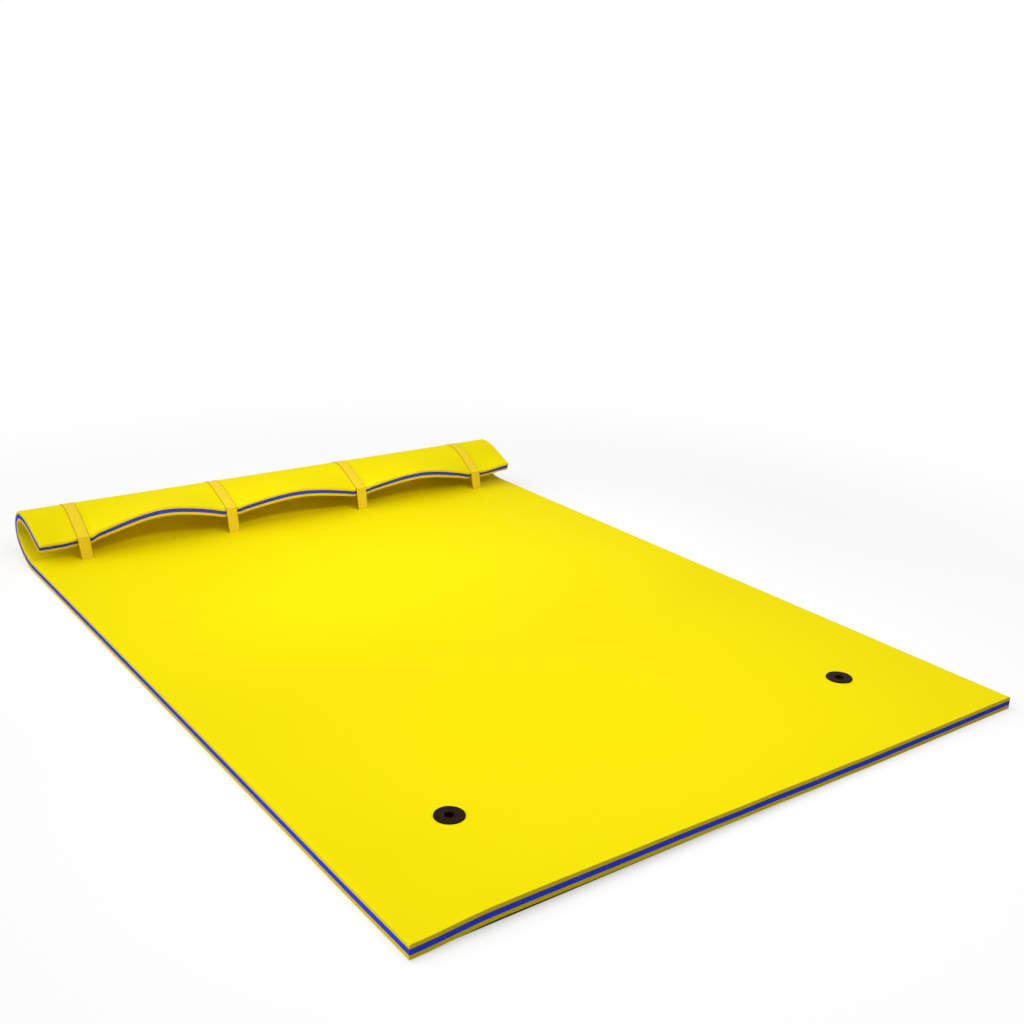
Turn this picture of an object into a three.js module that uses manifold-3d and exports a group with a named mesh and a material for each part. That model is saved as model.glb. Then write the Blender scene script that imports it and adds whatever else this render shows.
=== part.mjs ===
// Swim float mat: a three-layer foam sheet whose head end is curled over into a pillow.
// Four webbing straps hold the pillow down, and two eyelets near the foot take a tether.
// X runs across the mat, Y from the foot to the head, Z up. The origin is under the middle.

import * as THREE from 'three';
import { mergeVertices } from 'three/addons/utils/BufferGeometryUtils.js';
import Module from 'manifold-3d';

const wasm = await Module();
wasm.setup();

// Sheet, in millimetres, laid out flat
const sheetLength = 2743;
const sheetWidth = 1829;
const skinThickness = 9.8;
const coreThickness = 12.8;
const bondGap = 0.3;

// Pillow, as radii of the sheet's middle line and angles in degrees
const pillowLength = 460;
const riseRadius = 257;
const riseAngle = 35;
const backRadius = 48;
const flapBendRadius = 90;
const edgeDrawIn = 12.8;

// How steeply the flap comes down, in degrees: at its ends, under each strap, and between straps
const leftEndAngle = 20.6;
const rightEndAngle = 17.2;
const strapAngles = [21.2, 14.3, 17.8, 23];
const archAngles = [1.3, 3, 5.6];

// Straps
const outerStrapFromSide = 159.2;
const strapLean = 11;
const strapWidth = 40;
const strapThickness = 1.5;
const slitBehindEdge = 5;
const slitSideClearance = 1;
const seatClearance = 0.3;

// Closure on the back of the pillow
const barHeight = 4.5;
const windowHeight = 8;
const ringSideWidth = 4.5;
const ringSideClearance = 1;
const ringEdgeRounding = 0.6;
const foldLeg = 1;
const hookThickness = 1.4;
const loopThickness = 1.4;
const patchSideInset = 1.5;

// Eyelets
const grommetFromFoot = 320;
const grommetFromSide = 294.5;
const boreRadius = 11;
const barrelWall = 4.5;
const barrelClearance = 0.5;
const flangeRadius = 35;
const flangeEdgeHeight = 1.3;
const flangeFaceHeight = 2.2;
const beadHeight = 3;
const rimBeadWidth = 3.4;
const boreBeadWidth = 3;
const beadShoulder = 0.8;
const washerThickness = 2.2;
const washerEdgeHeight = 1.2;
const lipHeight = 0.9;
const lipReach = 1.4;

// Cutters run past the faces that they cut by this much
const overrun = 5;

// Fineness of the round forms
const riseSteps = 4;
const backSteps = 12;
const bendSteps = 2;
const flapSteps = 1;
const endSteps = 2;
const archHalfSteps = 3;
const wrapSteps = 6;
const roundSteps = 32;
const cornerSteps = 3;

// Places along the back bend, counted in its steps from the rise
const ringStep = 6;
const sewnSteps = 2;
const tailSteps = 5;
const hookSteps = 3;
const loopSteps = 4;

// Worked out from the sizes above
const thickness = 2 * skinThickness + coreThickness + 2 * bondGap;
const half = thickness / 2;
const floorLength = sheetLength - pillowLength;
const rise = THREE.MathUtils.degToRad(riseAngle);
const backTurn = Math.PI - rise;
const flapStart = floorLength + riseRadius * rise + backRadius * backTurn;
const strapSpan = sheetWidth - 2 * outerStrapFromSide;
const strapPitch = strapSpan / (strapAngles.length - 1);
const strapCentres = strapAngles.map((_, i) => i * strapPitch - strapSpan / 2);
const meanStrapAngle = strapAngles.reduce((sum, angle) => sum + angle, 0) / strapAngles.length;
const strapSeat = seatClearance + strapThickness / 2;
const dentDepth = strapThickness + 2 * seatClearance;
const slitWidth = strapThickness + 2 * seatClearance;
const ringThickness = hookThickness + loopThickness + seatClearance;
const barSeat = dentDepth + ringThickness / 2;
const wrapRadius = ringThickness / 2 + strapSeat;
const tailSeat = barSeat + wrapRadius;
const backCentreY = floorLength + (riseRadius - backRadius) * Math.sin(rise);
const bodyDepth = backCentreY + backRadius + half + tailSeat + strapThickness / 2;

// Colours and finishes
const foamYellow = new THREE.MeshStandardMaterial({ color: 0xf6e40c, roughness: 0.8, metalness: 0 });
const foamBlue = new THREE.MeshStandardMaterial({ color: 0x3a48b4, roughness: 0.85, metalness: 0 });
const goldWebbing = new THREE.MeshStandardMaterial({ color: 0xdcb83a, roughness: 0.7, metalness: 0 });
const blackPlastic = new THREE.MeshStandardMaterial({ color: 0x2a211f, roughness: 0.45, metalness: 0 });
const hookTape = new THREE.MeshStandardMaterial({ color: 0xc9a530, roughness: 0.9, metalness: 0 });
const loopTape = new THREE.MeshStandardMaterial({ color: 0xcfae3c, roughness: 1, metalness: 0 });

const mat = new THREE.Group();
mat.position.y = -bodyDepth / 2;

function addMesh(name, geometry, material) {
  const mesh = new THREE.Mesh(geometry, material.clone());
  mesh.name = name;
  mat.add(mesh);
}

// The arches between the straps use up width, so the sheet draws in towards its free edge
function drawnIn(x, along) {
  const share = Math.max(0, along - floorLength) / pillowLength;
  return x * (1 - (edgeDrawIn / (sheetWidth / 2)) * share * share);
}

// Each strap leans to the left as it crosses the flap towards the free edge
function leaning(centre, along) {
  const share = Math.max(0, along - flapStart) / (sheetLength - flapStart);
  return centre - strapLean * share;
}

// Where one side of a strap lies on the flat sheet, at the flap's start and at its free edge
function underStrap(centre, reach) {
  return [flapStart, sheetLength].map((along) => (leaning(centre, along) + reach) / drawnIn(1, along));
}

// Places across the sheet where the flap's slope is set. It is level across each strap.
function slopeKnots() {
  const reach = strapWidth / 2 + slitSideClearance + seatClearance;
  const knots = [{ x: -sheetWidth / 2, slope: leftEndAngle, steps: endSteps }];
  strapCentres.forEach((centre, i) => {
    const last = i === strapCentres.length - 1;
    const left = Math.min(...underStrap(centre, -reach));
    const right = Math.max(...underStrap(centre, reach));
    knots.push({ x: left, slope: strapAngles[i], steps: 1 });
    knots.push({ x: right, slope: strapAngles[i], steps: last ? endSteps : archHalfSteps });
    if (!last) {
      knots.push({ x: centre + strapPitch / 2, slope: archAngles[i], steps: archHalfSteps });
    }
  });
  knots.push({ x: sheetWidth / 2, slope: rightEndAngle, steps: 0 });
  return knots;
}

// Stations across the sheet, each with its flap slope in radians, smooth from knot to knot
function widthStations() {
  const stations = [];
  const knots = slopeKnots();
  knots.forEach((knot, i) => {
    const next = knots[i + 1] ?? knot;
    for (let k = 0; k < Math.max(knot.steps, 1); k++) {
      const share = knot.steps ? k / knot.steps : 0;
      const ease = (1 - Math.cos(Math.PI * share)) / 2;
      const slope = THREE.MathUtils.lerp(knot.slope, next.slope, ease);
      stations.push({
        x: THREE.MathUtils.lerp(knot.x, next.x, share),
        slope: THREE.MathUtils.degToRad(slope),
      });
    }
  });
  return stations;
}

// The sheet's middle line at one station: points with y, z, heading and distance along the sheet
function middleLine(slope) {
  const bends = [
    { radius: riseRadius, turn: rise, steps: riseSteps },
    { radius: backRadius, turn: backTurn, steps: backSteps },
    { radius: flapBendRadius, turn: slope, steps: bendSteps },
  ];
  const line = [{ y: 0, z: half, heading: 0, along: 0 }];
  let at = { y: floorLength, z: half, heading: 0, along: floorLength };
  line.push(at);
  for (const { radius, turn, steps } of bends) {
    const start = at;
    for (let k = 1; k <= steps; k++) {
      const heading = start.heading + (turn * k) / steps;
      at = {
        y: start.y + radius * (Math.sin(heading) - Math.sin(start.heading)),
        z: start.z - radius * (Math.cos(heading) - Math.cos(start.heading)),
        heading,
        along: start.along + (radius * turn * k) / steps,
      };
      line.push(at);
    }
  }
  const straight = sheetLength - at.along;
  for (let k = 1; k <= flapSteps; k++) {
    const reach = (straight * k) / flapSteps;
    line.push({
      y: at.y + reach * Math.cos(at.heading),
      z: at.z + reach * Math.sin(at.heading),
      heading: at.heading,
      along: at.along + reach,
    });
  }
  return line;
}

// A point beside the middle line, off by a distance towards the mat's upper face
function beside(point, off) {
  return {
    y: point.y - off * Math.sin(point.heading),
    z: point.z + off * Math.cos(point.heading),
  };
}

function closedGeometry(positions, indices) {
  const geometry = new THREE.BufferGeometry();
  geometry.setAttribute('position', new THREE.Float32BufferAttribute(positions, 3));
  geometry.setIndex(indices);
  geometry.computeVertexNormals();
  return geometry;
}

// One foam layer between two distances from the middle line, as a closed grid of quads
function layerGeometry(low, high) {
  const stations = widthStations();
  const lines = stations.map(({ slope }) => middleLine(slope));
  const rows = lines[0].length;
  const columns = stations.length;
  const positions = [];
  for (const off of [low, high]) {
    stations.forEach(({ x }, column) => {
      for (const point of lines[column]) {
        const { y, z } = beside(point, off);
        positions.push(drawnIn(x, point.along), y, z);
      }
    });
  }
  const vertex = (side, column, row) => (side * columns + column) * rows + row;
  const indices = [];
  const quad = (a, b, c, d) => indices.push(a, b, c, a, c, d);
  for (let c = 0; c + 1 < columns; c++) {
    for (let r = 0; r + 1 < rows; r++) {
      quad(vertex(0, c, r), vertex(0, c, r + 1), vertex(0, c + 1, r + 1), vertex(0, c + 1, r));
      quad(vertex(1, c, r), vertex(1, c + 1, r), vertex(1, c + 1, r + 1), vertex(1, c, r + 1));
    }
    const end = rows - 1;
    quad(vertex(0, c, 0), vertex(0, c + 1, 0), vertex(1, c + 1, 0), vertex(1, c, 0));
    quad(vertex(0, c, end), vertex(1, c, end), vertex(1, c + 1, end), vertex(0, c + 1, end));
  }
  for (let r = 0; r + 1 < rows; r++) {
    const end = columns - 1;
    quad(vertex(0, 0, r), vertex(1, 0, r), vertex(1, 0, r + 1), vertex(0, 0, r + 1));
    quad(vertex(0, end, r), vertex(0, end, r + 1), vertex(1, end, r + 1), vertex(1, end, r));
  }
  return closedGeometry(positions, indices);
}

// Solids for cutting
function toSolid(geometry) {
  const bare = geometry.clone();
  bare.deleteAttribute('normal');
  bare.deleteAttribute('uv');
  const merged = mergeVertices(bare);
  return new wasm.Manifold(new wasm.Mesh({
    numProp: 3,
    vertProperties: new Float32Array(merged.attributes.position.array),
    triVerts: new Uint32Array(merged.index.array),
  }));
}

function fromSolid(solid) {
  const { vertProperties, triVerts } = solid.getMesh();
  return closedGeometry(Array.from(vertProperties), Array.from(triVerts));
}

function cutAll(geometry, cutters) {
  let solid = toSolid(geometry);
  for (const cutter of cutters) {
    solid = solid.subtract(toSolid(cutter));
  }
  return fromSolid(solid);
}

function boxBetween(low, high) {
  const box = new THREE.BoxGeometry(high.x - low.x, high.y - low.y, high.z - low.z);
  box.translate((low.x + high.x) / 2, (low.y + high.y) / 2, (low.z + high.z) / 2);
  return box;
}

function upright(radius, low, high, x, y) {
  const cylinder = new THREE.CylinderGeometry(radius, radius, high - low, roundSteps);
  cylinder.rotateX(Math.PI / 2);
  cylinder.translate(x, y, (low + high) / 2);
  return cylinder;
}

// The slits lie in one line across the mat, a little behind the pillow's free edge
function slitPlace() {
  const line = middleLine(THREE.MathUtils.degToRad(meanStrapAngle));
  return beside(line[line.length - 1], -half).y + slitBehindEdge;
}

const slitFromFoot = slitPlace();

// The slit that each strap goes down through
function slitCutter(centre) {
  const reach = strapWidth / 2 + slitSideClearance;
  return boxBetween(
    { x: centre - reach, y: slitFromFoot - slitWidth / 2, z: -overrun },
    { x: centre + reach, y: slitFromFoot + slitWidth / 2, z: thickness + overrun },
  );
}

// The dent that each strap presses into the underside, from its slit to where the mat lifts
function dentCutter(centre) {
  const reach = strapWidth / 2 + slitSideClearance;
  const lifted = beside(middleLine(0)[2], -half);
  return boxBetween(
    { x: centre - reach, y: slitFromFoot - slitWidth / 2, z: -overrun },
    { x: centre + reach, y: lifted.y, z: dentDepth },
  );
}

const grommetPlaces = [
  { side: 'left', x: grommetFromSide - sheetWidth / 2 },
  { side: 'right', x: sheetWidth / 2 - grommetFromSide },
];

function makeFoam() {
  const slits = strapCentres.map(slitCutter);
  const holeRadius = boreRadius + barrelWall + barrelClearance;
  const holes = grommetPlaces.map(({ x }) =>
    upright(holeRadius, -overrun, thickness + overrun, x, grommetFromFoot));
  const through = [...slits, ...holes];
  const recesses = grommetPlaces.map(({ x }) => upright(
    flangeRadius + barrelClearance, -overrun, washerThickness + seatClearance, x, grommetFromFoot));
  const dents = strapCentres.map(dentCutter);
  const skinTop = -half + skinThickness;
  const core = [skinTop + bondGap, half - skinThickness - bondGap];
  addMesh('bottom_foam', cutAll(layerGeometry(-half, skinTop), [...through, ...recesses, ...dents]), foamYellow);
  addMesh('core_foam', cutAll(layerGeometry(...core), through), foamBlue);
  addMesh('top_foam', cutAll(layerGeometry(-skinTop, half), through), foamYellow);
}

// Eyelets: a flange with its barrel from above, and a washer that snaps on below
function turned(profile, x) {
  const points = [...profile, profile[0]].map(([radius, height]) => new THREE.Vector2(radius, height));
  const geometry = new THREE.LatheGeometry(points, roundSteps);
  geometry.rotateX(Math.PI / 2);
  geometry.translate(x, grommetFromFoot, 0);
  return geometry;
}

function flangeProfile() {
  const seat = thickness + seatClearance;
  const barrel = boreRadius + barrelWall;
  const boreBead = boreRadius + boreBeadWidth;
  const rimBead = flangeRadius - beadShoulder;
  return [
    [boreRadius, 0],
    [barrel + lipReach / 2, 0],
    [barrel + lipReach, lipHeight / 2],
    [barrel, lipHeight],
    [barrel, seat],
    [flangeRadius, seat],
    [flangeRadius, seat + flangeEdgeHeight],
    [rimBead, seat + beadHeight],
    [rimBead - rimBeadWidth + beadShoulder, seat + beadHeight],
    [rimBead - rimBeadWidth, seat + flangeFaceHeight],
    [boreBead + beadShoulder, seat + flangeFaceHeight],
    [boreBead, seat + beadHeight],
    [boreRadius + beadShoulder, seat + beadHeight],
    [boreRadius, seat + beadHeight - beadShoulder],
  ];
}

function washerProfile() {
  const barrel = boreRadius + barrelWall;
  const hole = barrel + seatClearance;
  const counterbore = barrel + lipReach + seatClearance;
  return [
    [counterbore, 0],
    [flangeRadius - beadShoulder, 0],
    [flangeRadius, washerThickness - washerEdgeHeight],
    [flangeRadius, washerThickness],
    [hole, washerThickness],
    [hole, lipHeight + seatClearance],
    [counterbore, lipHeight + seatClearance],
  ];
}

function makeGrommets() {
  for (const { side, x } of grommetPlaces) {
    addMesh(`grommet_${side}_flange`, turned(flangeProfile(), x), blackPlastic);
    addMesh(`grommet_${side}_washer`, turned(washerProfile(), x), blackPlastic);
  }
}

// A flat strip carried along a path of points. It lies across X and is mitred at each point.
function strip(path, width, depth) {
  const positions = [];
  path.forEach((point, i) => {
    const before = path[Math.max(i - 1, 0)];
    const after = path[Math.min(i + 1, path.length - 1)];
    const into = Math.atan2(point.z - before.z, point.y - before.y);
    const out = Math.atan2(after.z - point.z, after.y - point.y);
    const first = i === 0 ? out : into;
    const second = i === path.length - 1 ? into : out;
    const turn = Math.atan2(Math.sin(second - first), Math.cos(second - first));
    const normal = first + turn / 2 + Math.PI / 2;
    const reach = depth / 2 / Math.cos(turn / 2);
    for (const [side, face] of [[-1, -1], [1, -1], [1, 1], [-1, 1]]) {
      positions.push(
        point.x + (side * width) / 2,
        point.y + face * reach * Math.cos(normal),
        point.z + face * reach * Math.sin(normal),
      );
    }
  });
  const indices = [];
  const quad = (a, b, c, d) => indices.push(a, b, c, a, c, d);
  for (let i = 0; i + 1 < path.length; i++) {
    for (let k = 0; k < 4; k++) {
      const next = (k + 1) % 4;
      quad(4 * i + next, 4 * i + k, 4 * i + 4 + k, 4 * i + 4 + next);
    }
  }
  const end = 4 * (path.length - 1);
  quad(0, 1, 2, 3);
  quad(end + 3, end + 2, end + 1, end);
  return closedGeometry(positions, indices);
}

// The frame that the ring lies in: the middle of one flat of the back bend, facing out
function ringFrame(line, centre) {
  const first = line[1 + riseSteps + ringStep];
  const second = line[2 + riseSteps + ringStep];
  const heading = (first.heading + second.heading) / 2;
  const a = beside(first, -half);
  const b = beside(second, -half);
  return {
    // A point so far up the flat and so far out from the foam
    at: (up, out) => ({
      x: centre,
      y: (a.y + b.y) / 2 + up * Math.cos(heading) + out * Math.sin(heading),
      z: (a.z + b.z) / 2 + up * Math.sin(heading) - out * Math.cos(heading),
    }),
    heading,
  };
}

// Half a turn of webbing round a bar's edge, from the foam's side outwards
function wrap(frame, up, towards) {
  const points = [];
  for (let k = 0; k <= wrapSteps; k++) {
    const angle = (Math.PI * k) / wrapSteps;
    points.push(frame.at(
      up + towards * wrapRadius * Math.sin(angle),
      barSeat - wrapRadius * Math.cos(angle),
    ));
  }
  return points;
}

// Where the strap's fold round the lower bar starts or ends
function foldStart(frame, seat) {
  return frame.at(-windowHeight / 2 - foldLeg, seat);
}

// Points over the sheet's underside, from one of its rows to another, so far out from the foam
function over(line, centre, from, to, out) {
  const points = [];
  const step = Math.sign(to - from) || 1;
  for (let i = from; i !== to + step; i += step) {
    const turn = (line[i + 1].heading - line[i - 1].heading) / 2;
    const { y, z } = beside(line[i], -half - out / Math.cos(turn / 2));
    points.push({ x: leaning(centre, line[i].along), y, z });
  }
  return points;
}

// The webbing's route, from its sewn end over the ring's upper bar and the pillow, through the
// slit and under the mat, and up the back to the ring's lower bar
function webbingPath(line, frame, centre) {
  const lower = 1 + riseSteps + ringStep;
  const upper = lower + 1;
  const tip = line.length - 1;
  const edge = beside(line[tip], -half - strapSeat);
  const heading = line[tip].heading;
  const sewnSeat = strapSeat + strapThickness + seatClearance;
  const lifted = beside(line[2], -half);
  const leave = floorLength + (lifted.y - floorLength) * (dentDepth / lifted.z);
  const overBar = windowHeight / 2 + barHeight + seatClearance;
  return [
    ...over(line, centre, upper + sewnSteps, upper + 1, sewnSeat),
    frame.at(overBar, tailSeat),
    ...wrap(frame, windowHeight / 2, -1).reverse(),
    ...over(line, centre, upper, tip - 1, strapSeat),
    {
      x: leaning(centre, line[tip].along),
      y: edge.y + strapSeat * Math.cos(heading),
      z: edge.z + strapSeat * Math.sin(heading),
    },
    { x: centre, y: slitFromFoot, z: thickness },
    { x: centre, y: slitFromFoot, z: strapSeat },
    { x: centre, y: leave, z: strapSeat },
    ...over(line, centre, 2, lower, strapSeat),
    foldStart(frame, strapSeat),
  ];
}

// The ring's outline: a rounded rectangle with a window
function roundedRectangle(width, height, radius, target) {
  const w = width / 2;
  const h = height / 2;
  target.moveTo(-w + radius, -h);
  target.lineTo(w - radius, -h);
  target.absarc(w - radius, -h + radius, radius, -Math.PI / 2, 0, false);
  target.lineTo(w, h - radius);
  target.absarc(w - radius, h - radius, radius, 0, Math.PI / 2, false);
  target.lineTo(-w + radius, h);
  target.absarc(-w + radius, h - radius, radius, Math.PI / 2, Math.PI, false);
  target.lineTo(-w, -h + radius);
  target.absarc(-w + radius, -h + radius, radius, Math.PI, 1.5 * Math.PI, false);
  return target;
}

function ringGeometry(frame) {
  const windowWidth = strapWidth + 2 * ringSideClearance;
  const outline = roundedRectangle(
    windowWidth + 2 * ringSideWidth - 2 * ringEdgeRounding,
    windowHeight + 2 * barHeight - 2 * ringEdgeRounding,
    ringSideWidth - ringEdgeRounding,
    new THREE.Shape(),
  );
  outline.holes.push(roundedRectangle(
    windowWidth + 2 * ringEdgeRounding,
    windowHeight + 2 * ringEdgeRounding,
    ringSideClearance,
    new THREE.Path(),
  ));
  const geometry = new THREE.ExtrudeGeometry(outline, {
    depth: ringThickness - 2 * ringEdgeRounding,
    bevelEnabled: true,
    bevelThickness: ringEdgeRounding,
    bevelSize: ringEdgeRounding,
    bevelSegments: 1,
    curveSegments: cornerSteps,
  });
  geometry.translate(0, 0, -(ringThickness - 2 * ringEdgeRounding) / 2);
  geometry.rotateX(frame.heading);
  const { x, y, z } = frame.at(0, barSeat);
  geometry.translate(x, y, z);
  return geometry;
}

function makeStrap(index) {
  const centre = strapCentres[index];
  const line = middleLine(THREE.MathUtils.degToRad(strapAngles[index]));
  const frame = ringFrame(line, centre);
  const lower = 1 + riseSteps + ringStep;
  const tailEnd = lower - tailSteps;
  const patchTop = lower - 1;
  const loopSeat = dentDepth + loopThickness / 2;
  const hookSeat = tailSeat - strapSeat - hookThickness / 2;
  const patchWidth = strapWidth - 2 * patchSideInset;
  const patch = (steps, seat) => over(line, centre, patchTop, patchTop - steps, seat);
  const fold = [
    foldStart(frame, strapSeat),
    ...wrap(frame, -windowHeight / 2, 1),
    foldStart(frame, tailSeat),
  ];
  const tail = [foldStart(frame, tailSeat), ...over(line, centre, lower, tailEnd, tailSeat)];
  const name = `strap_${index + 1}`;
  addMesh(`${name}_webbing`, strip(webbingPath(line, frame, centre), strapWidth, strapThickness), goldWebbing);
  addMesh(`${name}_ring`, ringGeometry(frame), blackPlastic);
  addMesh(`${name}_fold`, strip(fold, strapWidth, strapThickness), goldWebbing);
  addMesh(`${name}_tail`, strip(tail, strapWidth, strapThickness), goldWebbing);
  addMesh(`${name}_loop_patch`, strip(patch(loopSteps, loopSeat), patchWidth, loopThickness), loopTape);
  addMesh(`${name}_hook_patch`, strip(patch(hookSteps, hookSeat), patchWidth, hookThickness), hookTape);
}

makeFoam();
makeGrommets();
strapCentres.forEach((_, index) => makeStrap(index));

export default mat;
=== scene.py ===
"""Looks of a swim float mat: a three-layer foam sheet curled into a pillow, with its straps and eyelets.

Lengths are in metres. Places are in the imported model's frame: X across the mat, Y from its foot to its
pillow, Z up.
"""

import logging
import math
from collections.abc import Callable
from dataclasses import dataclass
from enum import Enum

import bpy
import numpy as np
from mathutils import Matrix
from numpy.typing import NDArray


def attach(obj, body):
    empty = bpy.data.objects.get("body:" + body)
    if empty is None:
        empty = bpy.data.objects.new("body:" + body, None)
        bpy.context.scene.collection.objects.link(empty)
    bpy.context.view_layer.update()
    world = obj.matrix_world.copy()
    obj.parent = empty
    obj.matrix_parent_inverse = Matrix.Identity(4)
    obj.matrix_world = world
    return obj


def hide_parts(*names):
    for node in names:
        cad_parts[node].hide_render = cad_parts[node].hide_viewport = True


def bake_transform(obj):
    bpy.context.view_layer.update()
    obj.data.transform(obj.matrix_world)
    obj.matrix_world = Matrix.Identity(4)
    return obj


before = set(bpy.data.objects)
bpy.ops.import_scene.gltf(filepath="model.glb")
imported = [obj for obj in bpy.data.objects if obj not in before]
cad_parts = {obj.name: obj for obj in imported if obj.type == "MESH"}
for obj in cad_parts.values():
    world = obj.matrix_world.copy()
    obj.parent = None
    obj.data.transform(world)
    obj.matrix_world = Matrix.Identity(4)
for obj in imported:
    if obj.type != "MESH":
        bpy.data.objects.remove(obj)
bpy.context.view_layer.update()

Array = NDArray[np.float64]
Faces = NDArray[np.int64]
Colour = tuple[float, float, float]

MM = 0.001
ROOT_BODY = "mat"
UV_NAME = "along"
CUT_NAME = "cut"

log = logging.getLogger("mat")


def linear(red: float, green: float, blue: float) -> Colour:
    """Turns a display colour from 0 to 255 into the linear one that a shader takes: share / 12.92 for the
    darkest, and ((share + 0.055) / 1.055)^2.4 for the rest.

    Args:
        red: The red part.
        green: The green part.
        blue: The blue part.

    Returns:
        The three linear parts, from 0 to 1.
    """
    share = np.array([red, green, blue]) / 255
    value = np.where(share <= 0.04045, share / 12.92, ((share + 0.055) / 1.055) ** 2.4)
    return tuple(float(part) for part in value)


def shaded(colour: Colour, factor: float) -> Colour:
    """A colour made darker or lighter by a factor."""
    return tuple(factor * part for part in colour)


# Shader graphs


def binary(operation: str, swapped: bool = False) -> Callable[["Number", object], "Number"]:
    """Makes a method that adds a Math node for a Number and another value.

    Args:
        operation: The node's operation.
        swapped: Whether the other value comes first.

    Returns:
        The method.
    """

    def method(self: "Number", other: object) -> "Number":
        """The node's result."""
        return self.math(operation, other, self) if swapped else self.math(operation, self, other)

    return method


class Number:
    """A number in a shader graph. Sums with it add Math nodes."""

    def __init__(self, graph: "Graph", socket: bpy.types.NodeSocket) -> None:
        """Wraps an output socket of a graph."""
        self.graph = graph
        self.socket = socket

    def math(self, operation: str, *values: object) -> "Number":
        """Adds one Math node.

        Args:
            operation: The node's operation.
            *values: Its inputs in order, each a number or a Number.

        Returns:
            The node's result.
        """
        inputs = dict(enumerate(values))
        node = self.graph.node("ShaderNodeMath", {"operation": operation}, inputs)
        return Number(self.graph, node.outputs[0])

    __add__ = binary("ADD")
    __radd__ = binary("ADD", swapped=True)
    __sub__ = binary("SUBTRACT")
    __rsub__ = binary("SUBTRACT", swapped=True)
    __mul__ = binary("MULTIPLY")
    __rmul__ = binary("MULTIPLY", swapped=True)
    __pow__ = binary("POWER")
    maximum = binary("MAXIMUM")

    def sine(self) -> "Number":
        """The sine, of an angle in radians."""
        return self.math("SINE", self)

    def size(self) -> "Number":
        """The absolute value."""
        return self.math("ABSOLUTE", self)

    def step(self, low: float, high: float) -> "Number":
        """A smooth step, from 0 at low to 1 at high."""
        settings = {"interpolation_type": "SMOOTHSTEP"}
        inputs = {"Value": self, "From Min": low, "From Max": high}
        node = self.graph.node("ShaderNodeMapRange", settings, inputs)
        return Number(self.graph, node.outputs["Result"])


class Graph:
    """A material, its node tree and its main shader."""

    def __init__(self, name: str, **constants: object) -> None:
        """Makes the material.

        Args:
            name: The material's name.
            **constants: Values of the main shader's sockets, with _ for a space in their names.
        """
        self.material = bpy.data.materials.new(name)
        self.material.use_nodes = True
        self.tree = self.material.node_tree
        self.shader = self.tree.nodes["Principled BSDF"]
        for key, value in constants.items():
            self.shader.inputs[key.replace("_", " ")].default_value = value

    @classmethod
    def of_tree(cls, tree: bpy.types.NodeTree) -> "Graph":
        """A graph that works on a node tree that is there already."""
        graph = cls.__new__(cls)
        graph.tree = tree
        return graph

    def node(
        self,
        kind: str,
        settings: dict[str, object] | None = None,
        inputs: dict[int | str, object] | None = None,
    ) -> bpy.types.Node:
        """Adds a node, sets it and feeds its sockets.

        Args:
            kind: The node's type.
            settings: Its properties, set before anything is linked.
            inputs: What each of its input sockets takes, by name or place.

        Returns:
            The node.
        """
        node = self.tree.nodes.new(kind)
        for key, value in (settings or {}).items():
            setattr(node, key, value)
        for key, value in (inputs or {}).items():
            self.feed(node.inputs[key], value)
        return node

    def feed(self, socket: bpy.types.NodeSocket, value: object) -> None:
        """Links a value into a socket, or sets it there if it is a constant."""
        source = value.socket if isinstance(value, Number) else value
        if isinstance(source, bpy.types.NodeSocket):
            self.tree.links.new(source, socket)
        elif socket.type == "RGBA" and len(source) == 3:
            socket.default_value = (*source, 1)
        else:
            socket.default_value = source

    def place(self) -> bpy.types.NodeSocket:
        """The point's place on the object."""
        return self.node("ShaderNodeTexCoord").outputs["Object"]

    def parts(self, vector: bpy.types.NodeSocket) -> list[Number]:
        """A vector's three numbers."""
        node = self.node("ShaderNodeSeparateXYZ", None, {"Vector": vector})
        return [Number(self, socket) for socket in node.outputs]

    def strip_place(self) -> tuple[Number, Number]:
        """The place on a strip: how far across it and how far along it, in metres."""
        across, along, _ = self.parts(self.node("ShaderNodeUVMap", {"uv_map": UV_NAME}).outputs["UV"])
        return across, along

    def attribute(self, name: str) -> Number:
        """A number that the mesh holds under a name."""
        return Number(self, self.node("ShaderNodeAttribute", {"attribute_name": name}).outputs["Fac"])

    def noise(self, vector: bpy.types.NodeSocket, scale: float, detail: float = 2.0) -> Number:
        """Soft noise about 0.5.

        Args:
            vector: The place that it is read at.
            scale: How many of its lumps there are in a metre.
            detail: How many finer layers it has.

        Returns:
            The noise, from 0 to 1.
        """
        inputs = {"Vector": vector, "Scale": scale, "Detail": detail}
        return Number(self, self.node("ShaderNodeTexNoise", None, inputs).outputs["Fac"])

    def cells(self, vector: bpy.types.NodeSocket, scale: float) -> Number:
        """The distance to the middle of the nearest of many random cells."""
        inputs = {"Vector": vector, "Scale": scale}
        return Number(self, self.node("ShaderNodeTexVoronoi", None, inputs).outputs["Distance"])

    def mix(self, factor: object, first: object, second: object) -> bpy.types.NodeSocket:
        """Two colours mixed by a factor."""
        inputs = {0: factor, 6: first, 7: second}
        return self.node("ShaderNodeMix", {"data_type": "RGBA"}, inputs).outputs[2]

    def finish(self, colour: object, roughness: object, height: object, depth: float) -> bpy.types.Material:
        """Feeds the main shader.

        Args:
            colour: The base colour.
            roughness: The roughness.
            height: The relief, from 0 to 1.
            depth: How deep the relief is, in metres.

        Returns:
            The material.
        """
        self.feed(self.shader.inputs["Base Color"], colour)
        self.feed(self.shader.inputs["Roughness"], roughness)
        bump = self.node("ShaderNodeBump", None, {"Strength": 1.0, "Distance": depth, "Height": height})
        self.feed(self.shader.inputs["Normal"], bump.outputs["Normal"])
        return self.material


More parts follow.
